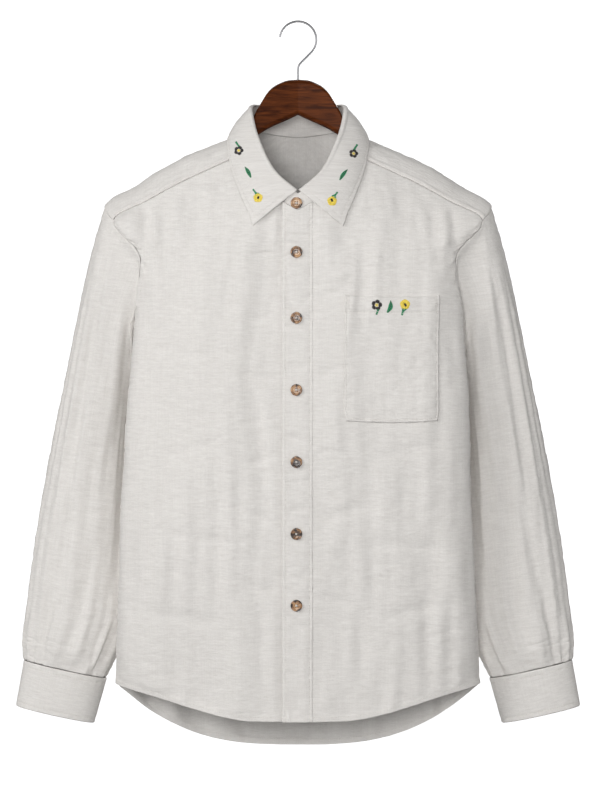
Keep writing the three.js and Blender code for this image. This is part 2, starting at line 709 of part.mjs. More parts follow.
// A point of the leaf: "way" below 0 is on the roll over the band, 0 to 1 is the fall.
function leafPoint(round, way) {
  const fold = collarFold(round);
  const out = sideways(round);
  const centre = fold.addScaledVector(out, -stiffThick / 2);
  const along = collarFold(wrapRound(round + 1)).sub(collarFold(round - 1));
  const up = out.clone().cross(along).normalize();
  const angle = radians(way < 0 ? -way * 150 : 0);
  const top = centre.clone().addScaledVector(out, rollRadius * Math.cos(angle));
  top.addScaledVector(up, rollRadius * Math.sin(angle));
  if (way <= 0) return top;
  const turn = leafTurn(round);
  const drop = leafDrop(round);
  const lift = bodyOutward(smoothBodyPoint, turn, drop);
  const edge = smoothBodyPoint(turn, drop).addScaledVector(lift, leafRest);
  return top.lerp(edge, way).addScaledVector(out, leafBulge * Math.sin(Math.PI * way));
}

// Directions square to an open sheet, from its own neighbouring points, facing away from "inside"
function sheetDirections(points, inside) {
  const rows = points.length;
  const columns = points[0].length;
  return points.map((line, r) => line.map((p, c) => {
    const along = line[Math.min(c + 1, columns - 1)].clone().sub(line[Math.max(c - 1, 0)]);
    const down = points[Math.min(r + 1, rows - 1)][c].clone().sub(points[Math.max(r - 1, 0)][c]);
    const out = along.cross(down).normalize();
    return out.dot(p.clone().sub(inside(p, r, c))) < 0 ? out.negate() : out;
  }));
}

function buildCollarLeaf() {
  const columns = 20;
  const ways = [-1, -0.6, -0.3, 0, 0.25, 0.5, 0.75, 1];
  const shares = Array.from({ length: columns + 1 }, (_, i) => (i / columns) ** 1.15);
  const halfRounds = shares.map((share) => lerp(leafStart, 180, share));
  const flip = (p) => new THREE.Vector3(-p.x, p.y, p.z);
  const points = ways.map((way) => {
    const half = halfRounds.map((round) => leafPoint(round, way));
    return [...half, ...half.slice(0, -1).reverse().map(flip)];
  });
  const middle = (round) => collarFold(round).addScaledVector(sideways(round), -stiffThick / 2);
  const middles = halfRounds.map(middle);
  const across = [...middles, ...middles.slice(0, -1).reverse().map(flip)];
  const below = (p, r, c) => across[c].clone().setZ(Math.min(across[c].z, p.z - 3));
  const directions = sheetDirections(points, below);
  addPiece("collar_leaf", wallGeometry(points, directions, stiffThick), clothLook);
}

// Buttons: a rimmed disc that lies on the cloth, its thread through four holes
const buttonProfile = [
  { radius: 0, height: 0 },
  { radius: 5.4, height: 0 },
  { radius: buttonAcross / 2, height: 0.9 },
  { radius: 7, height: 2.4 },
  { radius: 5.8, height: 2.5 },
  { radius: 4.7, height: 1.9 },
  { radius: 0, height: 1.8 },
];
const buttonX = -2;
const bandButtonZ = -237;
const secondButtonZ = -298;
const thirdButtonZ = -380;
const buttonSpacing = 89.5;
const lowerButtons = 5;
const buttonSides = 14;

function addButton(name, point, direction, lift) {
  const profile = buttonProfile.map(({ radius, height }) => new THREE.Vector2(radius, height));
  const geometry = new THREE.LatheGeometry(profile, buttonSides);
  geometry.deleteAttribute("uv");
  geometry.deleteAttribute("normal");
  const mesh = addPiece(name, facingOut(mergeVertices(geometry, 1e-4)), hornLook);
  mesh.position.copy(point).addScaledVector(direction, lift);
  mesh.quaternion.setFromUnitVectors(new THREE.Vector3(0, 1, 0), direction);
  return mesh;
}

function buildButtons() {
  const bandRound = THREE.MathUtils.radToDeg(Math.asin(buttonX / neckOval.halfWidth));
  const bandLow = neckSeam(Math.abs(bandRound));
  const bandHigh = collarFold(Math.abs(bandRound));
  const share = (bandButtonZ - bandLow.z) / (bandHigh.z - bandLow.z);
  const onBand = bandLow.lerp(bandHigh, share).setX(buttonX);
  addButton("button_1", onBand, new THREE.Vector3(0, -1, 0), 1);
  const heights = [secondButtonZ];
  for (let i = 0; i < lowerButtons; i += 1) heights.push(thirdButtonZ - i * buttonSpacing);
  heights.forEach((z, i) => {
    const { point, direction } = frontPointAt(buttonX, z);
    addButton("button_" + (i + 2), point, direction, placketLift + seamGap + 0.2);
  });
}

const cuffButton = { round: 634, way: 0.5 };

function buildCuffButtons() {
  const { round, way } = cuffButton;
  const point = cuffPoint(round, way);
  const along = cuffPoint(round + 1, way).sub(cuffPoint(round - 1, way));
  const down = cuffPoint(round, way + 0.05).sub(cuffPoint(round, way - 0.05));
  const direction = along.cross(down).normalize();
  const flip = (v) => new THREE.Vector3(-v.x, v.y, v.z);
  addButton("cuff_button_left", point, direction, seamGap + 0.3);
  addButton("cuff_button_right", flip(point), flip(direction), seamGap + 0.3);
}

// Hanger: a contoured wooden bar whose arms sweep forward under the shoulders
const woodThick = 13;
const woodRound = 5.5;
const armTip = 216;
const underYoke = 3.7;
const sweep = curveThrough([0, 65, 245], [0, -10.9, -28]);
const archTop = [
  { x: 0, z: -73 },
  { x: 12, z: -74 },
  { x: 24, z: -78.5 },
  { x: 33, z: -84 },
  { x: 41, z: -93 },
  { x: 47.5, z: -104 },
  { x: 53.5, z: -114.5 },
  { x: 57.5, z: -124 },
  { x: 60, z: -138 },
  { x: 61, z: -147.5 },
];
const woodBottom = [
  { x: 0, z: -118 },
  { x: 55, z: -147.5 },
  { x: 65, z: -158.5 },
  { x: 100, z: -179 },
  { x: 150, z: -205 },
  { x: 205, z: -236 },
  { x: armTip, z: -238 },
];
const archZ = column(archTop, "x", "z");
const bottomZ = column(woodBottom, "x", "z");

// The height of the shoulder's ridge at a given x
function ridgeZ(x) {
  let low = 0;
  let high = yokeDrop;
  for (let i = 0; i < 24; i += 1) {
    const middle = (low + high) / 2;
    if (smoothBodyPoint(90, middle).x < x) low = middle;
    else high = middle;
  }
  return smoothBodyPoint(90, low).z;
}

function woodTopZ(x) {
  const archEnd = archTop.at(-1).x;
  if (x <= archEnd) return archZ(x);
  const tipDrop = 9 * power((x - armTip + 26) / 26, 2);
  return ridgeZ(x) - underYoke - tipDrop;
}

// A closed loft of rings with flat ends; rings[i][j] are points
function loftGeometry(rings) {
  const count = rings[0].length;
  const positions = rings.flat().flatMap((p) => [p.x, p.y, p.z]);
  const faces = [];
  for (let r = 0; r < rings.length - 1; r += 1) {
    for (let c = 0; c < count; c += 1) {
      const d = (c + 1) % count;
      faces.push(r * count + c, r * count + d, (r + 1) * count + d);
      faces.push(r * count + c, (r + 1) * count + d, (r + 1) * count + c);
    }
  }
  const last = (rings.length - 1) * count;
  for (let c = 1; c < count - 1; c += 1) {
    faces.push(0, c + 1, c);
    faces.push(last, last + c, last + c + 1);
  }
  const geometry = new THREE.BufferGeometry();
  geometry.setAttribute("position", new THREE.BufferAttribute(new Float32Array(positions), 3));
  geometry.setIndex(faces);
  return facingOut(geometry);
}

function woodRing(x) {
  const side = Math.abs(x);
  const top = woodTopZ(side);
  const bottom = bottomZ(side);
  const y = sweep(side);
  const half = woodThick / 2;
  const round = Math.min(woodRound, (top - bottom) / 3);
  const ring = [];
  const corners = [
    { sideY: 1, edgeZ: top - round, from: 0 },
    { sideY: -1, edgeZ: top - round, from: 90 },
    { sideY: -1, edgeZ: bottom + round, from: 180 },
    { sideY: 1, edgeZ: bottom + round, from: 270 },
  ];
  for (const { sideY, edgeZ, from } of corners) {
    for (const step of [0, 45, 90]) {
      const a = radians(from + step);
      const cornerY = y + sideY * (half - round);
      ring.push(new THREE.Vector3(x, cornerY + round * Math.cos(a), edgeZ + round * Math.sin(a)));
    }
  }
  return ring;
}

const hookWire = 1.4;
const hookInner = 22;
const hookSides = 10;
const hookTipAngle = 172;
const hookEndAngle = -45;
const stemBend = 12;
const stemEnd = -92;
const stemHole = hookWire + 0.3;

function buildHangerWood() {
  const arch = [0, 6, 12, 18, 24, 29, 33, 37, 41, 47.5, 53.5, 57.5, 60, 61];
  const arm = [66, 76, 95, 115, 135, 155, 175, 195, 205, 212, armTip];
  const side = [...arch, ...arm];
  const stations = [...side.slice(1).reverse().map((x) => -x), ...side];
  const wood = solidOf(loftGeometry(stations.map(woodRing)));
  const holeDepth = woodTopZ(0) - stemEnd + seamGap;
  const hole = wasm.Manifold.cylinder(holeDepth + 5, stemHole, stemHole, hookSides + 2);
  const bore = hole.translate([0, 0, stemEnd - seamGap]);
  addPiece("hanger_wood", geometryOf(wood.subtract(bore)), woodLook);
}

function solidOf(geometry) {
  return new wasm.Manifold(new wasm.Mesh({
    numProp: 3,
    vertProperties: geometry.getAttribute("position").array,
    triVerts: new Uint32Array(geometry.getIndex().array),
  }));
}

function geometryOf(solid) {
  const { numProp, vertProperties, triVerts } = solid.getMesh();
  const geometry = new THREE.BufferGeometry();
  const positions = new Float32Array((vertProperties.length / numProp) * 3);
  for (let i = 0; i < positions.length / 3; i += 1) {
    for (let k = 0; k < 3; k += 1) positions[i * 3 + k] = vertProperties[i * numProp + k];
  }
  geometry.setAttribute("position", new THREE.BufferAttribute(positions, 3));
  geometry.setIndex(new THREE.BufferAttribute(new Uint32Array(triVerts), 1));
  return geometry;
}

// The hook's wire: over the crown from its tip, in to the middle, and down into the wood
function hookPath() {
  const path = new THREE.CurvePath();
  const radius = hookInner + hookWire;
  const centreZ = -hookInner;
  const onArc = (angle) => {
    const a = radians(angle);
    return new THREE.Vector3(radius * Math.cos(a), 0, centreZ + radius * Math.sin(a));
  };
  const steps = 26;
  const angles = Array.from({ length: steps + 1 }, (_, i) => lerp(hookTipAngle, hookEndAngle, i / steps));
  const arc = angles.map(onArc);
  const leave = arc.at(-1);
  const end = radians(hookEndAngle);
  const way = new THREE.Vector3(Math.sin(end), 0, -Math.cos(end));
  const reach = leave.x / -way.x;
  const corner = leave.clone().addScaledVector(way, reach);
  const cut = stemBend * Math.tan(radians(-hookEndAngle / 2));
  const bendStart = corner.clone().addScaledVector(way, -cut);
  const bendEnd = corner.clone().setZ(corner.z - cut);
  const bend = new THREE.QuadraticBezierCurve3(bendStart, corner, bendEnd);
  return [...arc, ...bend.getPoints(5), new THREE.Vector3(0, 0, stemEnd)];
}

function buildHook() {
  const path = hookPath();
  const rings = path.map((p, i) => {
    const before = path[Math.max(i - 1, 0)];
    const after = path[Math.min(i + 1, path.length - 1)];
    const along = after.clone().sub(before).normalize();
    const side = new THREE.Vector3(0, 1, 0);
    const up = along.clone().cross(side);
    return Array.from({ length: hookSides }, (_, k) => {
      const a = (2 * Math.PI * k) / hookSides;
      const q = p.clone().addScaledVector(side, hookWire * Math.cos(a));
      return q.addScaledVector(up, hookWire * Math.sin(a));
    });
  });
  addPiece("hanger_hook", loftGeometry(rings), wireLook);
}

buildFronts();
buildYoke();
buildBack();
buildPlacket();
buildPocket();
buildArms();
buildCollarBand();
buildCollarLeaf();
buildButtons();
buildCuffButtons();
buildHangerWood();
buildHook();

export default shirt;
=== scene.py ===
import bpy
import numpy as np
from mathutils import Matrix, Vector
from mathutils.bvhtree import BVHTree


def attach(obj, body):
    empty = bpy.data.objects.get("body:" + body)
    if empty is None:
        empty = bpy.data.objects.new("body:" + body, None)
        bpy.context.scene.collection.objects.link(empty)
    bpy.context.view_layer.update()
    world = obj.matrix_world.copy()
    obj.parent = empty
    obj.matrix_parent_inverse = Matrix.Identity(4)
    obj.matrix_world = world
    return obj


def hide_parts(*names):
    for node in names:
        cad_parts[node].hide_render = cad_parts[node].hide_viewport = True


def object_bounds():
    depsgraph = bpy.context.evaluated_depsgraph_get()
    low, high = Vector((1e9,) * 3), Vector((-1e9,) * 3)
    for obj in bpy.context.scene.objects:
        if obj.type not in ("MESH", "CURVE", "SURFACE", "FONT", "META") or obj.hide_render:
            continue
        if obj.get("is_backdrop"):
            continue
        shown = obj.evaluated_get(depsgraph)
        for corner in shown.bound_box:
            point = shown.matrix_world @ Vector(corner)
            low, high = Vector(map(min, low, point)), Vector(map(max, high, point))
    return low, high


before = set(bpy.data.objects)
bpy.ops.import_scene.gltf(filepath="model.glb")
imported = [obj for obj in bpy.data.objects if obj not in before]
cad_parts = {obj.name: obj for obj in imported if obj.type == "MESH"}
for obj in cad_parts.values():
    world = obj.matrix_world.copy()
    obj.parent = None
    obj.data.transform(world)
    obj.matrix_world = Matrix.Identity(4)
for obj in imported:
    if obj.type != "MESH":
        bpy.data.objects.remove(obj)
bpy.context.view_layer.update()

# Fronts. Two panels of ecru oxford cotton, cut straight down the button edge and shaped at the neck,
# shoulder, armhole and side. They hang from the yoke, with a narrow hem turned up at the shirt tail.
# Sizes are millimetres. "turn" goes round the body from the front centre, "drop" down from the neck seam.
MM = 0.001
CLOTH = 0.7
SHOULDER_HALF = 245.0
YOKE_DROP = 200.0
PIT_DROP = 405.0
HEM_DROP = 800.0
PLACKET_LEFT = -19.5
PLACKET_RIGHT = 18.5
UNDER_LAP_EDGE = 16.5
UNDER_LAP_SINK = 2.3


def smooth(t):
    t = np.clip(t, 0, 1)
    return t * t * (3 - 2 * t)


def power(base, exponent):
    return np.maximum(base, 0) ** exponent


def curve(at, values, x):
    """A curve through a short table, which never swings past the table's own values."""
    at = np.asarray(at, float)
    x = np.asarray(x, float)
    values = np.asarray(values, float)
    if values.ndim == 1:
        values = values.reshape((-1,) + (1,) * x.ndim)
    values = np.broadcast_to(values, (len(at),) + x.shape)
    gap = np.diff(at).reshape((-1,) + (1,) * x.ndim)
    rise = np.diff(values, axis=0) / gap
    slope = np.zeros_like(values)
    slope[0], slope[-1] = rise[0], rise[-1]
    before, after = rise[:-1], rise[1:]
    same_way = before * after > 0
    wide, narrow = 2 * gap[1:] + gap[:-1], gap[1:] + 2 * gap[:-1]
    mean = wide / np.where(same_way, before, 1) + narrow / np.where(same_way, after, 1)
    slope[1:-1] = np.where(same_way, (wide + narrow) / np.where(same_way, mean, 1), 0)
    i = np.clip(np.searchsorted(at, x) - 1, 0, len(at) - 2)
    span = gap.ravel()[i]
    t = np.clip((x - at[i]) / span, 0, 1)

    def pick(table, k):
        return np.take_along_axis(table, (i + k)[None], 0)[0]

    ends = (1 + 2 * t) * (1 - t) ** 2 * pick(values, 0) + t * t * (3 - 2 * t) * pick(values, 1)
    return ends + span * (t * (1 - t) ** 2 * pick(slope, 0) + t * t * (t - 1) * pick(slope, 1))


NECK_ROUNDS = [0, 30, 60, 90, 115, 180]
NECK_SEAM_HEIGHTS = [-246, -224, -185, -144.5, -138, -143.5]
NECK_HALF_WIDTH, NECK_HALF_DEPTH, NECK_CENTRE = 66, 64, -22


def oval(half_width, half_depth, centre, heights, rounds):
    a = np.radians(rounds)
    z = curve(NECK_ROUNDS, heights, np.abs(rounds))
    return np.stack([half_width * np.sin(a), centre - half_depth * np.cos(a), z], -1)


def neck_seam(rounds):
    return oval(NECK_HALF_WIDTH, NECK_HALF_DEPTH, NECK_CENTRE, NECK_SEAM_HEIGHTS, rounds)


def wrapped(rounds):
    return np.where(rounds > 180, rounds - 360, rounds)


def neck_ring(turn):
    return neck_seam(wrapped(turn + 10 * np.sin(np.radians(turn))))


def shoulder_ring(turn):
    s, c = np.sin(np.radians(turn)), np.cos(np.radians(turn))
    bow = np.where(c >= 0, -58 * power(c, 0.8), 98 * power(-c, 0.8))
    fall = np.where(c >= 0, 61 * power(c, 1.23), 26 * power(-c, 0.55))
    x = np.sign(s) * SHOULDER_HALF * np.abs(s) ** 0.8
    return np.stack([x, bow - 28, -238.5 - fall], -1)


# Level rings of the hanging body: drop, height, half width, edge, front bow, back bow, how square the front
# and the back turn, and how much the back narrows. The last one is the hem, whose height follows its curve.
BODY_RINGS = [
    (275, -310, 203, -33, 54, 108, 4.4, 2.1, 0.08),
    (405, -440, 211, -36, 52, 118, 4.0, 1.9, 0.2),
    (585, -622, 222, -32, 52, 106, 3.6, 1.8, 0.16),
    (725, -764, 229, -24, 52, 84, 3.2, 1.6, 0.08),
    (800, None, 231.5, -17, 52, 62, 2.6, 1.3, 0.0),
]
HEM_SIDE, HEM_FRONT, HEM_BACK = -841, -885, -928


def level_ring(row, turn):
    _, height, half_width, edge, front, back, front_square, back_square, narrow = row
    s, c = np.sin(np.radians(turn)), np.cos(np.radians(turn))
    share = np.abs(s) ** (2 / 2.2)
    bow = np.where(c >= 0, -front * power(c, 2 / front_square), back * power(-c, 2 / back_square))
    pinch = np.where(c >= 0, 1, 1 - narrow * power(-c, 1.5))
    if height is None:
        climb = curve([0, 0.25, 0.39, 0.58, 0.77, 1], [0, 0.02, 0.12, 0.38, 0.69, 1], share)
        tail = HEM_BACK + (HEM_SIDE - HEM_BACK) * share ** 2.85
        height = np.where(c >= 0, HEM_FRONT + (HEM_SIDE - HEM_FRONT) * climb, tail)
    x = np.sign(s) * half_width * share * pinch
    return np.stack([x, edge + bow, height + 0 * x], -1)


def body(turn, drop):
    """A point of the smooth hanging body."""
    turn, drop = np.broadcast_arrays(np.asarray(turn, float), np.asarray(drop, float))
    neck, shoulder = neck_ring(turn), shoulder_ring(turn)
    rings = [neck]
    for share, ridge in ((0.5, 11), (0.765, 7.5)):
        step = neck + (shoulder - neck) * share
        step[..., 2] += ridge * np.abs(np.sin(np.radians(turn))) ** 6
        rings.append(step)
    rings.append(shoulder)
    rings += [level_ring(row, turn) for row in BODY_RINGS]
    drops = [0, 100, 150, YOKE_DROP] + [row[0] for row in BODY_RINGS]
    table = np.stack(rings)
    return np.stack([curve(drops, table[..., k], drop) for k in range(3)], -1)


def unit(v):
    return v / np.maximum(np.linalg.norm(v, axis=-1, keepdims=True), 1e-9)


def body_out(turn, drop):
    along = body(turn + 0.6, drop) - body(turn - 0.6, drop)
    down = body(turn, np.minimum(drop + 3, HEM_DROP)) - body(turn, np.maximum(drop - 3, 0))
    return unit(np.cross(down, along))


# The large soft folds of the back: turn, drift on the way down, top and bottom drop, width, depth
BACK_FOLDS = [
    (152, -4, 205, 640, 6, -5), (176, 3, 230, 700, 7, 4), (205, 5, 205, 660, 6, -5),
    (134, -2, 260, 790, 7, 4), (226, 2, 240, 790, 7, 4),
]
# The large soft folds of the fronts, from one place to another as they are seen: x, z, x, z, width, depth
FRONT_FOLDS = [
    (-166, -226, -172, -330, 11, -2.4), (-125, -214, -130, -330, 12, -2.2), (-94, -250, -100, -400, 14, -2),
    (166, -226, 172, -330, 11, -2.4), (126, -212, 132, -310, 12, -2), (-140, -470, -118, -800, 22, 2.6),
    (150, -560, 128, -850, 22, 2.6), (-40, -600, -66, -850, 16, -2.4), (50, -640, 72, -850, 16, -2.2),
]


def fold_height(folds, turn, drop):
    height = np.zeros(np.broadcast(turn, drop).shape)
    for centre, drift, top, bottom, width, depth in folds:
        way = (drop - top) / (bottom - top)
        off = (turn - centre - drift * way + 180) % 360 - 180
        shape = np.exp(-((off / width) ** 2)) * smooth(way / 0.25) * smooth((1 - way) / 0.35)
        height = height + depth * shape * ((way > 0) & (way < 1))
    return height


def creases(lines, x, z, bend=0.0):
    """Creases given one by one: each runs from one place to another with a width and a depth."""
    height = np.zeros(np.broadcast(x, z).shape)
    for x0, z0, x1, z1, width, depth in lines:
        length = np.hypot(x1 - x0, z1 - z0)
        along = ((x - x0) * (x1 - x0) + (z - z0) * (z1 - z0)) / length ** 2
        off = ((x - x0) * (z1 - z0) - (z - z0) * (x1 - x0)) / length
        off = off + bend * length * np.sin(np.pi * np.clip(along, 0, 1))
        shape = np.exp(-((off / width) ** 2)) * smooth(along / 0.3) * smooth((1 - along) / 0.3)
        height = height + depth * shape
    return height


def draped_body(turn, drop):
    point = body(turn, drop)
    at_front = np.cos(np.radians(turn)) > 0
    lift = np.where(at_front, creases(FRONT_FOLDS, point[..., 0], point[..., 2]),
                    fold_height(BACK_FOLDS, turn, drop))
    return point + body_out(turn, drop) * lift[..., None]


def halved(inside, low, high, steps=26):
    """The place between low and high where inside stops being true, by halving."""
    for _ in range(steps):
        middle = (low + high) / 2
        here = inside(middle)
        low, high = np.where(here, middle, low), np.where(here, high, middle)
    return (low + high) / 2


def front_turn_at(x, drop):
    drop = np.asarray(drop, float)
    low, high = np.full(drop.shape, -70.0), np.full(drop.shape, 70.0)
    return halved(lambda t: body(t, drop)[..., 0] < x, low, high)


def yoke_seam_turn(drop):
    return 62.6 + 6.4 * power(np.minimum(drop, YOKE_DROP) / YOKE_DROP, 1.8)


def armhole_turn(drop, side):
    """The armhole's front (side -1) or back (side 1) edge, and below it the side seam."""
    if side < 0:
        hole = curve([YOKE_DROP, 240, 300, 360, PIT_DROP], [69, 72.5, 80, 94, 108], drop)
    else:
        way = np.clip((drop - YOKE_DROP) / (PIT_DROP - YOKE_DROP), 0, 1)
        half = 18 * (1 - 0.28 * smooth(way / 0.35)) * np.sqrt(1 - way ** 3)
        hole = curve([YOKE_DROP, 275, PIT_DROP], [90, 104, 108], drop) + half
    return np.where(drop < PIT_DROP, hole, curve([PIT_DROP, HEM_DROP], [108, 94], drop))


def front_edge_turn(drop):
    return np.where(drop <= YOKE_DROP, yoke_seam_turn(drop), armhole_turn(drop, -1))


def noise(u, v, across, down, seed):
    """Smooth random heights from -1 to 1 on a cloth, with cells of the given size."""
    table = np.random.default_rng(seed).uniform(-1, 1, (97, 97))
    a, b = u / across + 500.3, v / down + 500.7
    i, j = np.floor(a).astype(int), np.floor(b).astype(int)
    s, t = a - i, b - j
    s, t = s ** 3 * (s * (6 * s - 15) + 10), t ** 3 * (t * (6 * t - 15) + 10)
    corner = [[table[(j + q) % 97, (i + p) % 97] for p in (0, 1)] for q in (0, 1)]
    top = corner[0][0] * (1 - s) + corner[0][1] * s
    low = corner[1][0] * (1 - s) + corner[1][1] * s
    return top * (1 - t) + low * t


def crinkle(u, v, seed):
    """The short crosswise crinkles that slubby cotton keeps after washing, in millimetres of height."""
    warp = 4 * noise(u, v, 60, 40, seed)
    soft = noise(u + warp, v + warp, 17, 9, seed + 1)
    line = noise(u, v + warp - 0.06 * u, 15, 6.5, seed + 2)
    crease = (1 - np.clip(np.abs(line) * 2.6, 0, 1)) ** 2
    gate = smooth(0.3 + 1.6 * noise(u, v, 50, 40, seed + 4))
    small = noise(u + warp, v + warp, 7.5, 3.2, seed + 3)
    return 0.45 * soft - 0.9 * crease * gate + 0.27 * small


def drape(u, v, seed):
    """The soft upright ripples of cloth that hangs free, in millimetres of height."""
    lean = 9 * noise(u, v, 150, 170, seed + 1)
    wide = noise(u + lean, v, 34, 260, seed + 2)
    narrow = noise(u + lean, v, 14, 90, seed + 3)
    fine = noise(u + lean, v, 7, 45, seed + 6)
    return 5.2 * wide + 2.2 * narrow + 0.45 * fine


FRONT_CREASES = [
    (-191, -232, -194, -300, 6, -1.3), (-178, -238, -182, -300, 5, 1.0), (-150, -222, -158, -290, 6, 1.1),
    (-140, -216, -146, -262, 5, -1.0), (-110, -206, -116, -268, 6, 1.0), (-84, -260, -92, -330, 7, 0.9),
    (191, -234, 194, -300, 6, -1.3), (180, -236, 184, -300, 5, 1.0), (150, -222, 158, -290, 6, 1.1),
    (112, -206, 116, -268, 6, 0.9), (88, -220, 92, -300, 7, -1.0), (-66, -206, -76, -300, 8, -1.2),
    (68, -336, 20, -356, 5, -1.2), (66, -322, 26, -334, 4, 0.8), (-24, -372, -72, -382, 5, -0.9),
    (-22, -456, -84, -446, 5, -1.0), (-22, -548, -70, -562, 6, -1.0), (22, -452, 70, -438, 5, -0.9),
    (24, -640, 96, -610, 7, -1.1), (-26, -640, -92, -602, 7, -1.1), (-24, -300, -62, -296, 5, -0.8),
    (22, -545, 64, -552, 5, -0.8), (-24, -724, -78, -704, 7, -1.0), (22, -726, 70, -742, 7, -0.9),
    (-110, -380, -176, -352, 8, -0.9), (-100, -430, -190, -410, 7, -0.9), (-90, -530, -180, -552, 8, -0.9),
    (-70, -660, -190, -640, 8, -1.0), (-80, -760, -200, -742, 8, -1.0), (90, -560, 190, -536, 8, -1.0),
    (80, -660, 196, -676, 8, -1.0), (96, -760, 204, -736, 8, -1.0), (184, -380, 200, -480, 7, -0.9),
    (-196, -330, -192, -480, 7, -0.9), (-60, -400, -40, -520, 9, 0.9), (52, -560, 44, -700, 9, 0.9),
]


# Short creases across the button edge, above the buttons
PLACKET_CREASES = [
    (-19, -277, 18, -280, 3, -0.8), (-17, -284, 8, -286, 3, 0.5), (-18, -352, -4, -366, 3, -0.7),
    (17, -350, 3, -364, 3, -0.7), (-18, -440, 14, -446, 4, -0.6), (-16, -402, 16, -399, 4, 0.4),
    (-18, -528, 12, -536, 4, -0.7), (17, -585, -10, -580, 4, -0.5), (-18, -622, 16, -618, 4, -0.7),
    (-17, -700, 12, -710, 4, -0.7), (16, -764, -12, -760, 4, -0.6), (-16, -480, 16, -488, 4, 0.5),
]


def front_relief(x, z):
    """How far the front's cloth stands out or in at a place, shared by what is sewn on it."""
    calm = 0.25 + 0.75 * smooth((np.abs(x) - 14) / 18)
    calm = calm * (1 - 0.6 * smooth((105 - np.abs(x)) / 30) * smooth((z + 275) / 35))
    hanging = drape(x, z, 5) * (0.45 + 0.55 * smooth((-z - 225) / 60))
    across_edge = 2.2 * creases(PLACKET_CREASES, x, z, 0.05)
    laid = 1.7 * creases(FRONT_CREASES, x, z, 0.04)
    return 0.85 * crinkle(x, z, 11) + (laid + hanging) * calm + across_edge


def stations(total, step, near=(), far=()):
    """Distances along a line of cloth: closer together where its edges are stitched."""
    start, end = (list(near) or [0.0]), (list(far) or [0.0])
    count = max(2, round((total - start[-1] - end[-1]) / step))
    middle = np.linspace(0, 1, count + 1)[1:-1]
    return np.array(start), middle, np.array(end)


STITCHED_EDGE = (0, 0.6, 1.3, 2.1, 3.0, 4.0, 5.2, 6.6, 8.4, 10.6)


def lay_grid(surface, drops, first, last, columns):
    """Rows at the given drops, and along each row columns at true distances from its two ends."""
    start, middle, end = columns
    drops = np.asarray(drops, float)
    dense = np.linspace(0, 1, 260)[None]
    turns = first(drops)[:, None] * (1 - dense) + last(drops)[:, None] * dense
    line = surface(turns, drops[:, None] + 0 * turns)
    steps = np.linalg.norm(np.diff(line, axis=1), axis=2)
    run = np.concatenate([np.zeros((len(drops), 1)), np.cumsum(steps, 1)], 1)
    across = []
    for length in run[:, -1]:
        squeeze = min(1, length / (3 * (start[-1] + end[-1]) + 1e-6))
        a, b = start * squeeze, length - end[::-1] * squeeze
        across.append(np.concatenate([a, a[-1] + (b[0] - a[-1]) * middle, b]))
    across = np.array(across)
    turn = np.array([np.interp(across[r], run[r], turns[r]) for r in range(len(drops))])
    return turn, drops[:, None] + 0 * turn, across


def grid_out(points, sign=1.0, ring=False):
    """Directions square to a grid of points."""
    down = np.gradient(points, axis=0)
    if ring:
        along = np.roll(points, -1, 1) - np.roll(points, 1, 1)
    else:
        along = np.gradient(points, axis=1)
    return unit(np.cross(down, along)) * sign


def down_length(points):
    steps = np.linalg.norm(np.diff(points, axis=0), axis=2)
    return np.concatenate([np.zeros((1, points.shape[1])), np.cumsum(steps, 0)], 0)


def shell(name, outer, out, thick, uv, ring=False):
    """A closed sheet of cloth from a grid of points: the outer face, the inner face and the cut edges."""
    rows, columns = outer.shape[:2]
    thick = np.broadcast_to(np.asarray(thick, float), (rows, columns))
    inner = outer - out * thick[..., None]
    points = np.concatenate([outer.reshape(-1, 3), inner.reshape(-1, 3)]) * MM
    number = np.arange(rows * columns).reshape(rows, columns)
    if ring:
        number = np.concatenate([number, number[:, :1]], 1)
    a, b, c, d = number[:-1, :-1], number[1:, :-1], number[1:, 1:], number[:-1, 1:]
    back = rows * columns
    quads = [np.stack([a, b, c, d], -1).reshape(-1, 4)]
    quads.append(np.stack([a, d, c, b], -1).reshape(-1, 4) + back)
    top, low = number[0], number[-1]
    quads.append(np.stack([top[:-1], top[1:], top[1:] + back, top[:-1] + back], -1))
    quads.append(np.stack([low[:-1], low[:-1] + back, low[1:] + back, low[1:]], -1))
    if not ring:
        left, right = number[:, 0], number[:, -1]
        quads.append(np.stack([left[:-1], left[:-1] + back, left[1:] + back, left[1:]], -1))
        quads.append(np.stack([right[:-1], right[1:], right[1:] + back, right[:-1] + back], -1))
    faces = np.concatenate(quads)
    mesh = bpy.data.meshes.new(name)
    mesh.from_pydata(points.tolist(), [], faces.tolist())
    flat = np.concatenate([uv.reshape(-1, 2)] * 2) * MM
    mesh.uv_layers.new(name="cloth").data.foreach_set("uv", flat[faces.ravel()].ravel())
    mesh.polygons.foreach_set("use_smooth", np.ones(len(faces), bool))
    mesh.update()
    piece = bpy.data.objects.new(name, mesh)
    bpy.context.scene.collection.objects.link(piece)
    face_outwards(mesh)
    return piece


def face_outwards(mesh):
    """Turns the faces of a closed mesh over if they look inwards."""
    mesh.calc_loop_triangles()
    corners = np.zeros(len(mesh.vertices) * 3)
    mesh.vertices.foreach_get("co", corners)
    corners = corners.reshape(-1, 3)
    index = np.zeros(len(mesh.loop_triangles) * 3, int)
    mesh.loop_triangles.foreach_get("vertices", index)
    t = corners[index.reshape(-1, 3)]
    if np.einsum("ij,ij->i", t[:, 0], np.cross(t[:, 1], t[:, 2])).sum() < 0:
        mesh.flip_normals()


def add_node(nodes, kind, **sockets):
    node = nodes.new(kind)
    for key, value in sockets.items():
        if hasattr(node, key):
            setattr(node, key, value)
        else:
            node.inputs[key.replace("_", " ")].default_value = value
    return node


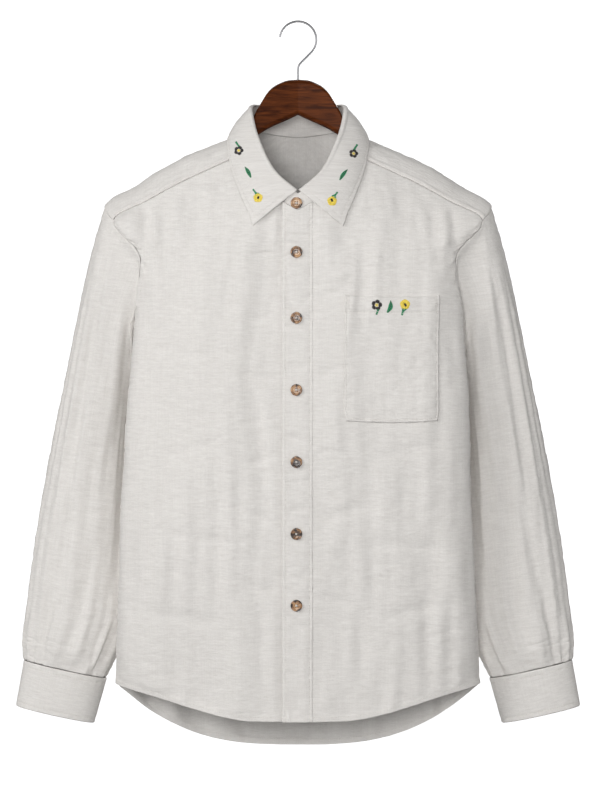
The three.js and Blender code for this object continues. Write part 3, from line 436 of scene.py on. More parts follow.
def stretched_noise(tree, source, scale, detail=3.0, turn=0.0):
    """Noise over the cloth's own length and width, in cells of 1/scale metres."""
    nodes, links = tree.nodes, tree.links
    place = nodes.new("ShaderNodeMapping")
    place.inputs["Scale"].default_value = (scale[0], scale[1], 1)
    place.inputs["Rotation"].default_value = (0, 0, turn)
    cloud = nodes.new("ShaderNodeTexNoise")
    cloud.inputs["Scale"].default_value = 1.0
    cloud.inputs["Detail"].default_value = detail
    links.new(source, place.inputs["Vector"])
    links.new(place.outputs["Vector"], cloud.inputs["Vector"])
    return cloud.outputs["Fac"]


def oxford_cloth(name, light=(0.765, 0.742, 0.712), dark=(0.655, 0.629, 0.60)):
    """Oxford cotton: paired warp over a thicker weft, with slubs that run along the weft."""
    material = bpy.data.materials.new(name)
    material.use_nodes = True
    tree = material.node_tree
    nodes, links = tree.nodes, tree.links
    shade = nodes["Principled BSDF"]
    shade.inputs["Sheen Weight"].default_value = 0.12
    shade.inputs["Sheen Roughness"].default_value = 0.5
    shade.inputs["Specular IOR Level"].default_value = 0.25
    where = nodes.new("ShaderNodeUVMap")
    where.uv_map = "cloth"
    place = where.outputs["UV"]
    slub = stretched_noise(tree, place, (130, 700), 3)
    streak = stretched_noise(tree, place, (55, 300), 3)
    heather = stretched_noise(tree, place, (700, 900), 2)
    warp = stretched_noise(tree, place, (700, 25), 3)
    sum_one = add_node(nodes, "ShaderNodeMath", operation="ADD")
    sum_two = add_node(nodes, "ShaderNodeMath", operation="ADD")
    sum_three = add_node(nodes, "ShaderNodeMath", operation="MULTIPLY_ADD")
    sum_three.inputs[1].default_value = 0.6
    links.new(slub, sum_one.inputs[0])
    links.new(streak, sum_one.inputs[1])
    links.new(heather, sum_two.inputs[0])
    links.new(sum_one.outputs[0], sum_two.inputs[1])
    links.new(warp, sum_three.inputs[0])
    links.new(sum_two.outputs[0], sum_three.inputs[2])
    ramp = nodes.new("ShaderNodeValToRGB")
    ramp.color_ramp.elements[0].position = 0.28
    ramp.color_ramp.elements[0].color = (*dark, 1)
    ramp.color_ramp.elements[1].position = 0.72
    ramp.color_ramp.elements[1].color = (*light, 1)
    scaled = add_node(nodes, "ShaderNodeMath", operation="MULTIPLY")
    scaled.inputs[1].default_value = 1 / 3.6 * 2
    links.new(sum_three.outputs[0], scaled.inputs[0])
    offset = add_node(nodes, "ShaderNodeMath", operation="SUBTRACT")
    offset.inputs[1].default_value = 0.5
    links.new(scaled.outputs[0], offset.inputs[0])
    links.new(offset.outputs[0], ramp.inputs["Fac"])
    links.new(ramp.outputs["Color"], shade.inputs["Base Color"])
    rough = add_node(nodes, "ShaderNodeMapRange")
    rough.inputs["To Min"].default_value = 0.78
    rough.inputs["To Max"].default_value = 0.95
    links.new(heather, rough.inputs["Value"])
    links.new(rough.outputs["Result"], shade.inputs["Roughness"])
    fine = stretched_noise(tree, place, (120, 380), 4, 0.04)
    bump = nodes.new("ShaderNodeBump")
    bump.inputs["Strength"].default_value = 0.5
    bump.inputs["Distance"].default_value = 0.0012
    links.new(fine, bump.inputs["Height"])
    yarn = nodes.new("ShaderNodeBump")
    yarn.inputs["Strength"].default_value = 0.5
    yarn.inputs["Distance"].default_value = 0.0003
    links.new(slub, yarn.inputs["Height"])
    links.new(bump.outputs["Normal"], yarn.inputs["Normal"])
    weave_u, weave_v = [add_node(nodes, "ShaderNodeTexWave") for _ in range(2)]
    weave_v.bands_direction = "Y"
    for wave, count in ((weave_u, 330.0), (weave_v, 260.0)):
        wave.inputs["Scale"].default_value = count
        links.new(place, wave.inputs["Vector"])
    weave = add_node(nodes, "ShaderNodeMath", operation="MULTIPLY")
    links.new(weave_u.outputs["Fac"], weave.inputs[0])
    links.new(weave_v.outputs["Fac"], weave.inputs[1])
    basket = nodes.new("ShaderNodeBump")
    basket.inputs["Strength"].default_value = 0.35
    basket.inputs["Distance"].default_value = 0.00015
    links.new(weave.outputs[0], basket.inputs["Height"])
    links.new(yarn.outputs["Normal"], basket.inputs["Normal"])
    links.new(basket.outputs["Normal"], shade.inputs["Normal"])
    return material


cotton = oxford_cloth("ecru_oxford_cotton")


def sew(piece, node):
    """Gives a piece of cloth its finish and its place on the shirt."""
    piece.data.materials.append(cotton)
    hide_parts(node)
    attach(piece, "root")


def groove(distance, at, depth, width=0.8):
    """The line that a row of stitches presses into the cloth."""
    return -depth * np.exp(-(((distance - at) / width) ** 2))


def hem_roll(left_over, u, seed, band=7.0):
    """A narrow turned hem: it stands out a little and puckers between its stitches."""
    pucker = noise(u, left_over, 4.5, 9, seed) * np.exp(-((left_over - band) / 5) ** 2) * 0.8
    raised = 0.45 * smooth((band + 0.8 - left_over) / 1.2)
    return raised + pucker + groove(left_over, band - 1, 0.35)


def hem_thick(left_over, band=7.0):
    return CLOTH + 1.0 * smooth((band + 0.6 - left_over) / 1.0)


def down_rows(top, bottom, step, near=(0,), far=(0,)):
    start, middle, end = stations(bottom - top, step, near, far)
    inner = top + start[-1] + (bottom - top - start[-1] - end[-1]) * middle
    return np.concatenate([top + start, inner, bottom - end[::-1]])


def line_at(field, distance, want):
    """Follows a grid along the line where a distance across it has one value."""
    picked = [[np.interp(want, d, f[:, k]) for k in range(f.shape[1])] for f, d in zip(field, distance)]
    return np.array(picked)


def thread_mesh(name, centre, up, radius, materials, kinds=None):
    """Short lengths of thread: one rounded, closed rod for each row of the centre points."""
    count, stops = centre.shape[:2]
    ahead = unit(np.gradient(centre, axis=1))
    side = unit(np.cross(ahead, up))
    over = np.cross(side, ahead)
    girth = radius * np.interp(np.linspace(0, 1, stops), [0, 0.2, 0.5, 0.8, 1], [0.5, 0.95, 1, 0.95, 0.5])
    angle = np.linspace(0, 2 * np.pi, 7)[:-1]
    ring = np.cos(angle)[:, None] * side[:, :, None] + np.sin(angle)[:, None] * over[:, :, None]
    points = centre[:, :, None] + ring * girth[None, :, None, None]
    points = points.reshape(-1, 3) * MM
    start = (np.arange(count) * stops * 6)[:, None, None]
    step = (np.arange(stops - 1) * 6)[None, :, None]
    spoke = np.arange(6)[None, None, :]
    here, there = start + step + spoke, start + step + (spoke + 1) % 6
    quads = np.stack([here, there, there + 6, here + 6], -1).reshape(-1, 4).tolist()
    first = (start[:, 0] + np.arange(5, -1, -1)[None]).tolist()
    last = (start[:, 0] + (stops - 1) * 6 + np.arange(6)[None]).tolist()
    mesh = bpy.data.meshes.new(name)
    mesh.from_pydata(points.tolist(), [], quads + first + last)
    kinds = np.zeros(count, int) if kinds is None else np.asarray(kinds)
    face_kinds = np.concatenate([np.repeat(kinds, (stops - 1) * 6), kinds, kinds])
    mesh.polygons.foreach_set("material_index", face_kinds)
    mesh.polygons.foreach_set("use_smooth", np.ones(len(mesh.polygons), bool))
    for material in materials:
        mesh.materials.append(material)
    mesh.update()
    thread = bpy.data.objects.new(name, mesh)
    bpy.context.scene.collection.objects.link(thread)
    face_outwards(mesh)
    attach(thread, "root")
    return thread


def stitches(name, lines, length=2.3, gap=0.8, radius=0.26):
    """Rows of machine stitches: each comes up out of the cloth, lies on it and goes down again."""
    share = np.array([0, 0.14, 0.5, 0.86, 1])
    centres, ups = [], []
    for line in lines:
        place = line[:, :3]
        run = np.concatenate([[0], np.cumsum(np.linalg.norm(np.diff(place, axis=0), axis=1))])
        if run[-1] < 2 * length:
            continue
        at = np.arange(gap, run[-1] - length, length + gap)[:, None] + share * length
        here = np.stack([np.interp(at, run, line[:, k]) for k in range(6)], -1)
        up = unit(here[..., 3:])
        centres.append(here[..., :3] + up * (radius * np.array([-1.3, 0.25, 0.7, 0.25, -1.3]))[:, None])
        ups.append(up)
    thread = thread_mesh(name, np.concatenate(centres), np.concatenate(ups), radius, [sewing_thread])
    return thread


def spun_thread(name, colour, gloss=0.35):
    """Spun thread: its colour and shine change along the twist."""
    material = bpy.data.materials.new(name)
    material.use_nodes = True
    nodes, links = material.node_tree.nodes, material.node_tree.links
    shade = nodes["Principled BSDF"]
    shade.inputs["Roughness"].default_value = gloss
    shade.inputs["Specular IOR Level"].default_value = 0.3
    shade.inputs["Sheen Weight"].default_value = 0.15
    where = nodes.new("ShaderNodeTexCoord")
    twist = nodes.new("ShaderNodeTexNoise")
    twist.inputs["Scale"].default_value = 900
    links.new(where.outputs["Object"], twist.inputs["Vector"])
    ramp = nodes.new("ShaderNodeValToRGB")
    ramp.color_ramp.elements[0].position = 0.3
    ramp.color_ramp.elements[0].color = tuple(0.72 * c for c in colour) + (1,)
    ramp.color_ramp.elements[1].position = 0.7
    ramp.color_ramp.elements[1].color = tuple(min(1, 1.18 * c) for c in colour) + (1,)
    links.new(twist.outputs["Fac"], ramp.inputs["Fac"])
    links.new(ramp.outputs["Color"], shade.inputs["Base Color"])
    bump = nodes.new("ShaderNodeBump")
    bump.inputs["Strength"].default_value = 0.4
    bump.inputs["Distance"].default_value = 0.0002
    links.new(twist.outputs["Fac"], bump.inputs["Height"])
    links.new(bump.outputs["Normal"], shade.inputs["Normal"])
    return material


sewing_thread = spun_thread("ecru_sewing_thread", (0.68, 0.65, 0.61), 0.6)


front_drops = np.unique(np.round(np.concatenate([
    down_rows(0, YOKE_DROP, 2.6, STITCHED_EDGE[:6]),
    down_rows(YOKE_DROP, HEM_DROP, 2.5, (0,), (0, 0.5, 1, 1.6, 2.2, 2.8, 3.4, 4, 4.8, 5.8, 7)),
]), 4))
front_columns = stations(205, 3.4, STITCHED_EDGE[:4], STITCHED_EDGE)


def front_panel(left):
    edge_x = PLACKET_LEFT + 1 if left else UNDER_LAP_EDGE
    side = 1 if left else -1
    turn, drop, across = lay_grid(
        body, front_drops,
        (lambda d: front_turn_at(edge_x, d)), (lambda d: side * front_edge_turn(d)), front_columns)
    base = draped_body(turn, drop)
    out = grid_out(base, side)
    x, z = base[..., 0], base[..., 2]
    run = down_length(base)
    left_over = run[-1] - run
    to_side = across[:, -1:] - across
    height = front_relief(x, z) * (0.1 + 0.9 * smooth(to_side / 12))
    height = height * (0.3 + 0.7 * smooth(left_over / 14)) * smooth(run / 6)
    height += hem_roll(left_over, across, 31 + left)
    height += groove(to_side, 0, 1.0, 1.3)
    on_armhole = smooth((drop - 192) / 10) * smooth((PIT_DROP + 6 - drop) / 12)
    pucker = noise(run, to_side, 4.6, 9, 41 + left) * np.exp(-((to_side - 6) / 5) ** 2)
    height += on_armhole * (0.7 * smooth((9.8 - to_side) / 1.2) * smooth(to_side / 2) + 1.5 * pucker)
    height += on_armhole * groove(to_side, 9, 0.7)
    if not left:
        height -= UNDER_LAP_SINK * smooth((28 + x) / 7)
    points = base + out * height[..., None]
    facing = grid_out(points, side)
    name = "front_left" if left else "front_right"
    panel = shell(name + "_cloth", points, facing, hem_thick(left_over), np.stack([x, z], -1))
    field = np.concatenate([points, facing], -1)
    armhole = (front_drops > YOKE_DROP) & (front_drops < PIT_DROP)
    band = line_at(field[armhole][:, ::-1], to_side[armhole][:, ::-1], 8.6)
    hem = line_at(field.transpose(1, 0, 2)[:, ::-1], left_over.T[:, ::-1], 5.4)
    thread = stitches(name + "_stitches", [band, hem])
    sew(panel, name)
    return panel


front_left = front_panel(True)
front_right = front_panel(False)

# Yoke. One piece over both shoulders, from the front yoke seams to the back seam, and the only cloth that
# lies on the hanger. Its seams are turned under and stitched through close to the edge.
yoke_drops = down_rows(0, YOKE_DROP, 2.8, STITCHED_EDGE[:5], STITCHED_EDGE[:9])
turn, drop, across = lay_grid(
    body, yoke_drops, yoke_seam_turn, lambda d: 360 - yoke_seam_turn(d),
    stations(520, 4.2, STITCHED_EDGE, STITCHED_EDGE))
base = draped_body(turn, drop)
out = grid_out(base)
to_seam = np.minimum(across, across[:, -1:] - across)
run = down_length(base)
left_over = run[-1] - run
height = crinkle(base[..., 0], base[..., 1] * 1.3, 61) * smooth(to_seam / 8) * smooth(run / 8)
height += 0.8 * noise(across, run, 60, 50, 66) * smooth(to_seam / 12) * smooth(run / 12)
height *= 0.2 + 0.8 * smooth(left_over / 8)
edge_lift = 0.9 * smooth(to_seam / 0.9) * smooth((7 - to_seam) / 3)
height += edge_lift + groove(to_seam, 0, 0.9, 0.8) + groove(to_seam, 2.2, 0.35)
height += 0.35 * noise(run, to_seam, 5, 6, 68) * np.exp(-((to_seam - 2.5) / 2.5) ** 2)
height += 0.5 * smooth(left_over / 0.9) * smooth((7 - left_over) / 3)
height += groove(left_over, 0, 0.9, 0.9) + groove(left_over, 2.4, 0.25)
points = base + out * height[..., None]
facing = grid_out(points)
yoke = shell("yoke_cloth", points, facing, CLOTH, np.stack([base[..., 0], base[..., 1] * 1.3], -1))
field = np.concatenate([points, facing], -1)
yoke_rows = [line_at(field, across, 2.2), line_at(field[:, ::-1], (across[:, -1:] - across)[:, ::-1], 2.2)]
back_yoke_row = line_at(field.transpose(1, 0, 2)[:, ::-1], left_over.T[:, ::-1], 2.4)
yoke_stitches = stitches("yoke_stitches", yoke_rows + [back_yoke_row])
sew(yoke, "yoke")

# Back. One wide panel, eased a little into the yoke seam so that it hangs in long soft folds, with a
# rounded tail that comes lower than the fronts. Its turned hem shows on the inside.
TAIL_HEM = 8.5
tail_rows = (0, 0.4, 0.8, 1.2, 1.7, 2.2, 2.8, 3.4, 4.2, 5.2)
back_drops = down_rows(YOKE_DROP, HEM_DROP, 3.2, STITCHED_EDGE[:6], tail_rows)
turn, drop, across = lay_grid(
    body, back_drops, lambda d: armhole_turn(d, 1), lambda d: 360 - armhole_turn(d, 1),
    stations(560, 4.7, STITCHED_EDGE[:8], STITCHED_EDGE[:8]))
base = draped_body(turn, drop)
out = grid_out(base)
to_seam = np.minimum(across, across[:, -1:] - across)
run = down_length(base)
left_over = run[-1] - run
from_middle = across - across[:, -1:] / 2
height = crinkle(from_middle, base[..., 2], 71) * (0.3 + 0.7 * smooth(to_seam / 8)) * smooth(run / 8)
height += drape(across, run, 76) * smooth(to_seam / 20) * smooth(run / 30)
height *= 0.3 + 0.7 * smooth(left_over / 12)
height += hem_roll(left_over, across, 79, TAIL_HEM) + groove(to_seam, 0, 0.7, 1.4) + groove(run, 0, 0.7, 1.4)
points = base + out * height[..., None]
facing = grid_out(points)
back = shell("back_cloth", points, facing, hem_thick(left_over, TAIL_HEM),
             np.stack([from_middle, base[..., 2]], -1))
field = np.concatenate([points, facing], -1)
tail_row = line_at(field.transpose(1, 0, 2)[:, ::-1], left_over.T[:, ::-1], 7.5)
inside_row = np.concatenate([tail_row[:, :3] - 1.7 * unit(tail_row[:, 3:]), -tail_row[:, 3:]], 1)
back_stitches = stitches("back_hem_stitches", [tail_row, inside_row])
sew(back, "back")

# Placket. A folded strip down the edge of the left front, stitched along both sides, that carries the
# buttonholes. It is cut on the straight grain and pressed flat, so it crinkles less than the fronts.
PLACKET_LIFT = 2.0
placket_drops = down_rows(1.2, HEM_DROP, 2.6, (0,), (0, 0.5, 1, 1.6, 2.2, 2.8, 3.4, 4, 4.8, 5.8, 7))
turn, drop, across = lay_grid(
    body, placket_drops, lambda d: front_turn_at(PLACKET_LEFT, d), lambda d: front_turn_at(PLACKET_RIGHT, d),
    stations(38, 2.2, STITCHED_EDGE[:8], STITCHED_EDGE[:8]))
base = draped_body(turn, drop)
out = grid_out(base)
to_edge = np.minimum(across, across[:, -1:] - across)
run = down_length(base)
left_over = run[-1] - run
height = front_relief(base[..., 0], base[..., 2]) * (0.3 + 0.7 * smooth(left_over / 14)) * smooth(run / 6)
at_fold = smooth((across - 26) / 10)
height += PLACKET_LIFT - 1.15 * at_fold + 0.12 * crinkle(across * 1.5, run * 1.4, 81)
height += groove(to_edge, 4.3, 0.5, 0.7)
height += 0.35 * noise(across, run, 9, 7, 85) * np.exp(-((to_edge - 3) / 3) ** 2)
height += 0.5 * smooth((1.6 - to_edge) / 1.6) * -1 + hem_roll(left_over, across, 86)
points = base + out * height[..., None]
facing = grid_out(points)
placket = shell("placket_cloth", points, facing, 1.3 - 0.7 * at_fold,
                np.stack([base[..., 0], base[..., 2]], -1))
field = np.concatenate([points, facing], -1)
rows = [line_at(field, across, 4.3), line_at(field[:, ::-1], (across[:, -1:] - across)[:, ::-1], 4.3)]
placket_stitches = stitches("placket_stitches", rows)

# Pocket. A square patch on the left chest with a deep hem along its mouth, stitched close to the edge on
# three sides, so it puckers slightly and its mouth sags and stands a little open.
POCKET_INNER, POCKET_OUTER, POCKET_TOP, POCKET_BOTTOM = 57, 175, -351, -508
POCKET_WIDE, POCKET_DEEP = POCKET_OUTER - POCKET_INNER, POCKET_TOP - POCKET_BOTTOM
POCKET_EDGE_ROW = 3.2


def drop_at_height(turn, z):
    low = np.zeros(np.shape(z))
    return halved(lambda d: body(turn, d)[..., 2] > z, low, low + HEM_DROP)


def front_place(x, z):
    """The turn and drop of a place on the front, from how it is seen straight on."""
    x, z = np.broadcast_arrays(np.asarray(x, float), np.asarray(z, float))
    low, high = np.full(x.shape, -88.0), np.full(x.shape, 88.0)
    turn = halved(lambda t: body(t, drop_at_height(t, z))[..., 0] < x, low, high, 20)
    return turn, drop_at_height(turn, z)


mouth_band = 21.0
across_pocket = np.concatenate([
    STITCHED_EDGE, np.linspace(12.5, 105.5, 40),
    POCKET_WIDE - np.array(STITCHED_EDGE[::-1])]) / POCKET_WIDE
mouth_rows = (0, 0.6, 1.4, 2.4, 4, 6, 8.5, 11, 13.5, 16, 18, 19.4, 20.4, 21.3, 22.4, 24)
down_pocket = np.concatenate([
    mouth_rows, np.linspace(26.5, 145, 50),
    POCKET_DEEP - np.array(STITCHED_EDGE[::-1])]) / POCKET_DEEP
share, down = np.meshgrid(across_pocket, down_pocket)
cut = 2 * power((down - 0.9) / 0.1, 1.5)
x = POCKET_INNER + cut + (POCKET_OUTER - POCKET_INNER - 2 * cut) * share
sag = np.maximum(2.2 * np.sin(np.pi * share) * (down - 0.5) * 2, 0)
mouth_sag = 3.2 * np.sin(np.pi * share) * power(1 - down * 5, 1)
z = POCKET_TOP + (POCKET_BOTTOM - POCKET_TOP) * down - sag - mouth_sag
turn, drop = front_place(x, z)
base = draped_body(turn, drop)
out = body_out(turn, drop)
from_side = np.minimum(share, 1 - share) * POCKET_WIDE
from_mouth, from_foot = down * POCKET_DEEP, (1 - down) * POCKET_DEEP
open_mouth = 3.4 * np.sin(np.pi * share) ** 1.5 * power(1 - down * 3.2, 2)
height = front_relief(x, z) + 2.4 + open_mouth
away = smooth(from_side / 9), smooth(from_foot / 9), smooth(from_mouth / 6)
height += 0.8 * crinkle(x, z * 1.1, 91) * away[0] * away[1] * away[2]
height += groove(from_mouth, mouth_band, 0.7, 1.0) + 0.25 * smooth((mouth_band - from_mouth) / 2)
height += groove(from_mouth, POCKET_EDGE_ROW, 0.4, 0.8) - 1.7 * smooth((2.6 - from_mouth) / 2.6)
edge = np.minimum(from_side, from_foot)
height += groove(edge, POCKET_EDGE_ROW, 0.55, 0.8) - 0.9 * smooth((1.4 - edge) / 1.4)
height += 0.45 * noise(x, z, 6, 6, 95) * np.exp(-((edge - 3) / 4) ** 2)
points = base + out * height[..., None]
facing = grid_out(points)
pocket = shell("pocket_cloth", points, facing, 0.9 + 0.9 * smooth((mouth_band - from_mouth) / 1.5),
               np.stack([x, z], -1))
field = np.concatenate([points, facing], -1)
share_down = np.broadcast_to(from_mouth, share.shape)
from_inner, from_outer = share * POCKET_WIDE, (1 - share) * POCKET_WIDE
rows = [line_at(field, from_inner, POCKET_EDGE_ROW)]
rows += [line_at(field[:, ::-1], from_outer[:, ::-1], POCKET_EDGE_ROW)]
rows += [line_at(field.transpose(1, 0, 2), share_down.T, POCKET_DEEP - POCKET_EDGE_ROW)[3:-3]]
rows += [line_at(field.transpose(1, 0, 2), share_down.T, mouth_band)]
for at in (4.9, 6.4, 111.6, 113.1):
    short = line_at(field, from_inner, at)
    rows.append(short[share_down[:, 0] < 20])
pocket_stitches = stitches("pocket_stitches", rows)


def embroider(name, piece, strokes, radius=0.28):
    """Lays short threads on a piece of cloth, each from one place to another as seen from the front."""
    corners, faces = piece.data.vertices, piece.data.polygons
    cloth = BVHTree.FromPolygons([v.co for v in corners], [f.vertices for f in faces])
    share = np.linspace(0, 1, 5)
    lift = radius * np.array([-0.9, 0.55, 0.95, 0.55, -0.9])
    centres, ups, kinds = [], [], []
    for x0, z0, x1, z1, kind, raised in strokes:
        centre, up = [], []
        for t, rise in zip(share, lift):
            eye_line = Vector((x0 + (x1 - x0) * t, -300, z0 + (z1 - z0) * t)) * MM
            place, square, _, _ = cloth.ray_cast(eye_line, Vector((0, 1, 0)))
            if place is None:
                break
            up.append(np.array(square))
            centre.append(np.array(place) / MM + up[-1] * (rise + raised))
        if len(centre) == len(share):
            centres.append(centre)
            ups.append(up)
            kinds.append(kind)
    return thread_mesh(name, np.array(centres), np.array(ups), radius, EMBROIDERY_THREADS, kinds)


EMBROIDERY_THREADS = [
    spun_thread("near_black_thread", (0.014, 0.010, 0.010)),
    spun_thread("yellow_thread", (0.84, 0.66, 0.09)),
    spun_thread("green_thread", (0.012, 0.23, 0.09)),
    spun_thread("deep_green_thread", (0.002, 0.06, 0.022)),
    sewing_thread,
]
DARK, YELLOW, GREEN, DEEP_GREEN, ECRU = range(5)


def dark_flower(x, z, turn, size):
    """Five rounded petals in satin stitch round a small yellow star."""
    strokes = []
    for petal in range(5):
        a = np.radians(turn + 72 * petal)
        along, aside = np.array([np.sin(a), np.cos(a)]), np.array([np.cos(a), -np.sin(a)])
        for w in np.linspace(-0.4, 0.4, 13):
            far = 0.62 + 0.4 * np.sqrt(1 - (w / 0.43) ** 2)
            start = (0.26 + 0.1 * abs(w)) * along + 0.7 * w * aside
            end = far * along + w * aside
            strokes.append((x + size * start[0], z + size * start[1],
                            x + size * end[0], z + size * end[1], DARK, 0))
        for lean, far in ((-24, 0.2), (-12, 0.28), (0, 0.4), (12, 0.28), (24, 0.2)):
            b = a + np.radians(lean)
            strokes.append((x, z, x + size * far * np.sin(b), z + size * far * np.cos(b), YELLOW, 0.22))
    return strokes


def yellow_flower(x, z, size, mark):
    """A round head of straight stitches with a short dark mark across its middle."""
    strokes = []
    for k in range(76):
        a = 2 * np.pi * k / 76
        near = 0.1 if k % 2 else 0.5
        far = 0.95 + 0.05 * np.cos(5 * a)
        strokes.append((x + size * near * np.sin(a), z + size * near * np.cos(a),
                        x + size * far * np.sin(a), z + size * far * np.cos(a), YELLOW, 0.1 * (k % 2)))
    x0, z0, x1, z1 = mark
    length = np.hypot(x1 - x0, z1 - z0)
    for offset in (-1.0, -0.5, 0, 0.5, 1.0):
        dx, dz = offset * (z1 - z0) / length, -offset * (x1 - x0) / length
        strokes.append((x0 + dx, z0 + dz, x1 + dx, z1 + dz, DARK, 0.4))
    return strokes


def leaf_stitches(x0, z0, x1, z1, bow, width):
    """A pointed leaf: slanting stitches on both sides of a darker middle vein."""
    length = np.hypot(x1 - x0, z1 - z0)
    ahead = np.array([x1 - x0, z1 - z0]) / length
    aside = np.array([-ahead[1], ahead[0]])

    def vein(t):
        return np.array([x0, z0]) + ahead * length * t + aside * bow * np.sin(np.pi * t)

    strokes = []
    steps = int(length / 0.42)
    for t in np.linspace(0.02, 0.93, steps):
        reach = width / 2 * np.sin(np.pi * t ** 0.85)
        for way in (-1, 1):
            start, end = vein(t), vein(min(t + 0.1, 1)) + aside * way * reach
            strokes.append((*start, *end, GREEN, 0))
    for t in np.linspace(0.06, 0.8, 6):
        for offset in (-0.25, 0.3):
            start, end = vein(t) + aside * offset, vein(t + 0.16) + aside * offset
            strokes.append((*start, *end, DEEP_GREEN, 0.3))
    return strokes


def stem_stitches(places, width=2.4):
    """A stem: rows of short stitches side by side."""
    strokes = []
    for (x0, z0), (x1, z1) in zip(places[:-1], places[1:]):
        length = np.hypot(x1 - x0, z1 - z0)
        count = max(1, round(length / 2.6))
        for offset in np.linspace(-0.5, 0.5, 5) * (width - 0.5):
            dx, dz = offset * (z1 - z0) / length, -offset * (x1 - x0) / length
            for k in range(count):
                a, b = k / count - 0.04, (k + 1) / count + 0.04
                strokes.append((x0 + (x1 - x0) * a + dx, z0 + (z1 - z0) * a + dz,
                                x0 + (x1 - x0) * b + dx, z0 + (z1 - z0) * b + dz, GREEN, 0))
    return strokes


motifs = stem_stitches([(100.0, -368.5), (98.9, -372.2), (97.2, -376.0)])
motifs += dark_flower(97.8, -364.1, 12, 7.1)
motifs += leaf_stitches(114.9, -357.6, 110.8, -373.8, 2.2, 6.2)
motifs += stem_stitches([(129.2, -376.8), (130.3, -371.9), (130.4, -368.0)])
motifs += stem_stitches([(130.3, -372.2), (134.9, -368.4)], 1.9)
motifs += yellow_flower(133.0, -363.2, 6.8, (132.4, -361.9, 134.6, -366.2))
pocket_embroidery = embroider("pocket_embroidery", pocket, motifs)
sew(pocket, "pocket")

# Buttonholes. Six upright slits in the placket, cut along its grain under the six lower front buttons, and
# worked round with close satin stitches in ecru thread. Only the stitches are made, and no slit is cut.
BUTTON_HEIGHTS = (-298, -380, -469.5, -559, -648.5, -738)


def buttonhole(x, z, upright=True, length=16.5):
    strokes = []
    for at in np.arange(-length / 2, length / 2 + 0.1, 0.52):
        end = abs(at) > length / 2 - 1.6
        for way in (-1, 1):
            near, far = (-0.1 if end else 0.22) * way, 1.35 * way
            if upright:
                strokes.append((x + near, z + at, x + far, z + at, ECRU, 0))
            else:
                strokes.append((x + at, z + near, x + at, z + far, ECRU, 0))
    return strokes


holes = [stroke for z in BUTTON_HEIGHTS for stroke in buttonhole(-2, z)]
placket_buttonholes = embroider("placket_buttonholes", placket, holes, 0.24)
sew(placket, "placket")

# Sleeves. One piece each, set into the armhole, straight and full, with a small bound opening at the back
# and its width gathered into the cuff. They hang a little behind the body.
SLEEVE_RINGS = [
    (0.07, 257, -274, -20, 203, -449, 20, 45), (0.17, 276, -350, -4, 196, -468, 36, 47),
    (0.29, 293, -430, 12, 193, -500, 50, 48), (0.42, 309, -508, 22, 195, -548, 53, 46),
    (0.55, 323.5, -585, 27, 199, -613, 50, 45), (0.68, 336.5, -662, 28, 205, -688, 46, 43),
    (0.81, 347, -738, 27, 212, -760, 40, 40), (0.92, 352, -788, 25, 230, -803, 33, 33),
    (1, 351.5, -815, 23, 247, -838.5, 28, 25),
]


def arm(rings, way, rounds, grow):
    """A point of an arm ring: round is 0 at the outer edge, 90 at the front, 180 at the inner edge."""
    ways = [row[0] for row in rings]
    sizes = [curve(ways, [row[k] for row in rings], way) for k in range(1, 8)]
    outer_x, outer_z, outer_y, inner_x, inner_z, inner_y, half_depth = sizes
    outer, inner = np.stack([outer_x, outer_y, outer_z], -1), np.stack([inner_x, inner_y, inner_z], -1)
    centre, half = (outer + inner) / 2, (outer - inner) / 2
    c, s = np.cos(np.radians(rounds)), np.sin(np.radians(rounds))
    wide = np.linalg.norm(half, axis=-1)
    across = np.sign(c) * np.abs(c) ** (2 / 2.25) * (1 + grow / wide)
    depth = np.sign(s) * np.abs(s) ** (2 / 2.25) * (half_depth + grow)
    point = centre + half * across[..., None]
    point[..., 1] -= depth
    return point


armhole_drops = []
for i in range(13):
    way = i / 12
    armhole_drops.append(YOKE_DROP + (PIT_DROP - YOKE_DROP) * (np.sin(way * np.pi / 2) * 0.35 + way * 0.65))
armhole_drops = np.array(armhole_drops)
loop_turns = np.concatenate([
    np.linspace(90, 69, 7)[:-1], armhole_turn(armhole_drops, -1)[:-1],
    armhole_turn(armhole_drops, 1)[:0:-1], np.linspace(108, 90, 7)[:-1], [90]])
loop_drops = np.concatenate([
    [YOKE_DROP] * 6, armhole_drops[:-1], armhole_drops[:0:-1], [YOKE_DROP] * 7])
loop_turns[6] = 69
SLEEVE_FOLDS = [
    (62, -8, 0.06, 0.62, 11, -2.8), (96, 6, 0.04, 0.5, 12, 2.1), (78, -22, 0.5, 0.97, 11, -3.2),
    (116, -8, 0.55, 0.98, 11, -2.5), (265, 12, 0.08, 0.6, 13, -3.2), (300, -10, 0.45, 0.96, 12, -2.8),
]
FINE_FOLDS = [
    (40, -6, 0.1, 0.5, 5, -1.6), (84, 8, 0.2, 0.62, 6, 1.8), (110, -4, 0.12, 0.5, 6, -1.6),
    (134, -6, 0.3, 0.8, 6, -1.4), (50, 4, 0.55, 0.95, 6, -1.8), (98, -10, 0.62, 0.98, 5, -2),
    (66, -4, 0.72, 1.2, 4, 1.6), (126, -6, 0.7, 1.2, 5, 1.4), (230, 6, 0.1, 0.7, 8, 2),
    (330, -8, 0.3, 0.9, 8, -2),
]
SLEEVE_COLUMNS = 150
sleeve_ways = np.concatenate([
    np.array([0, 0.0012, 0.0025, 0.004, 0.006, 0.009]), np.linspace(0.013, 0.9, 146),
    np.linspace(0.9, 1, 45)[1:]])


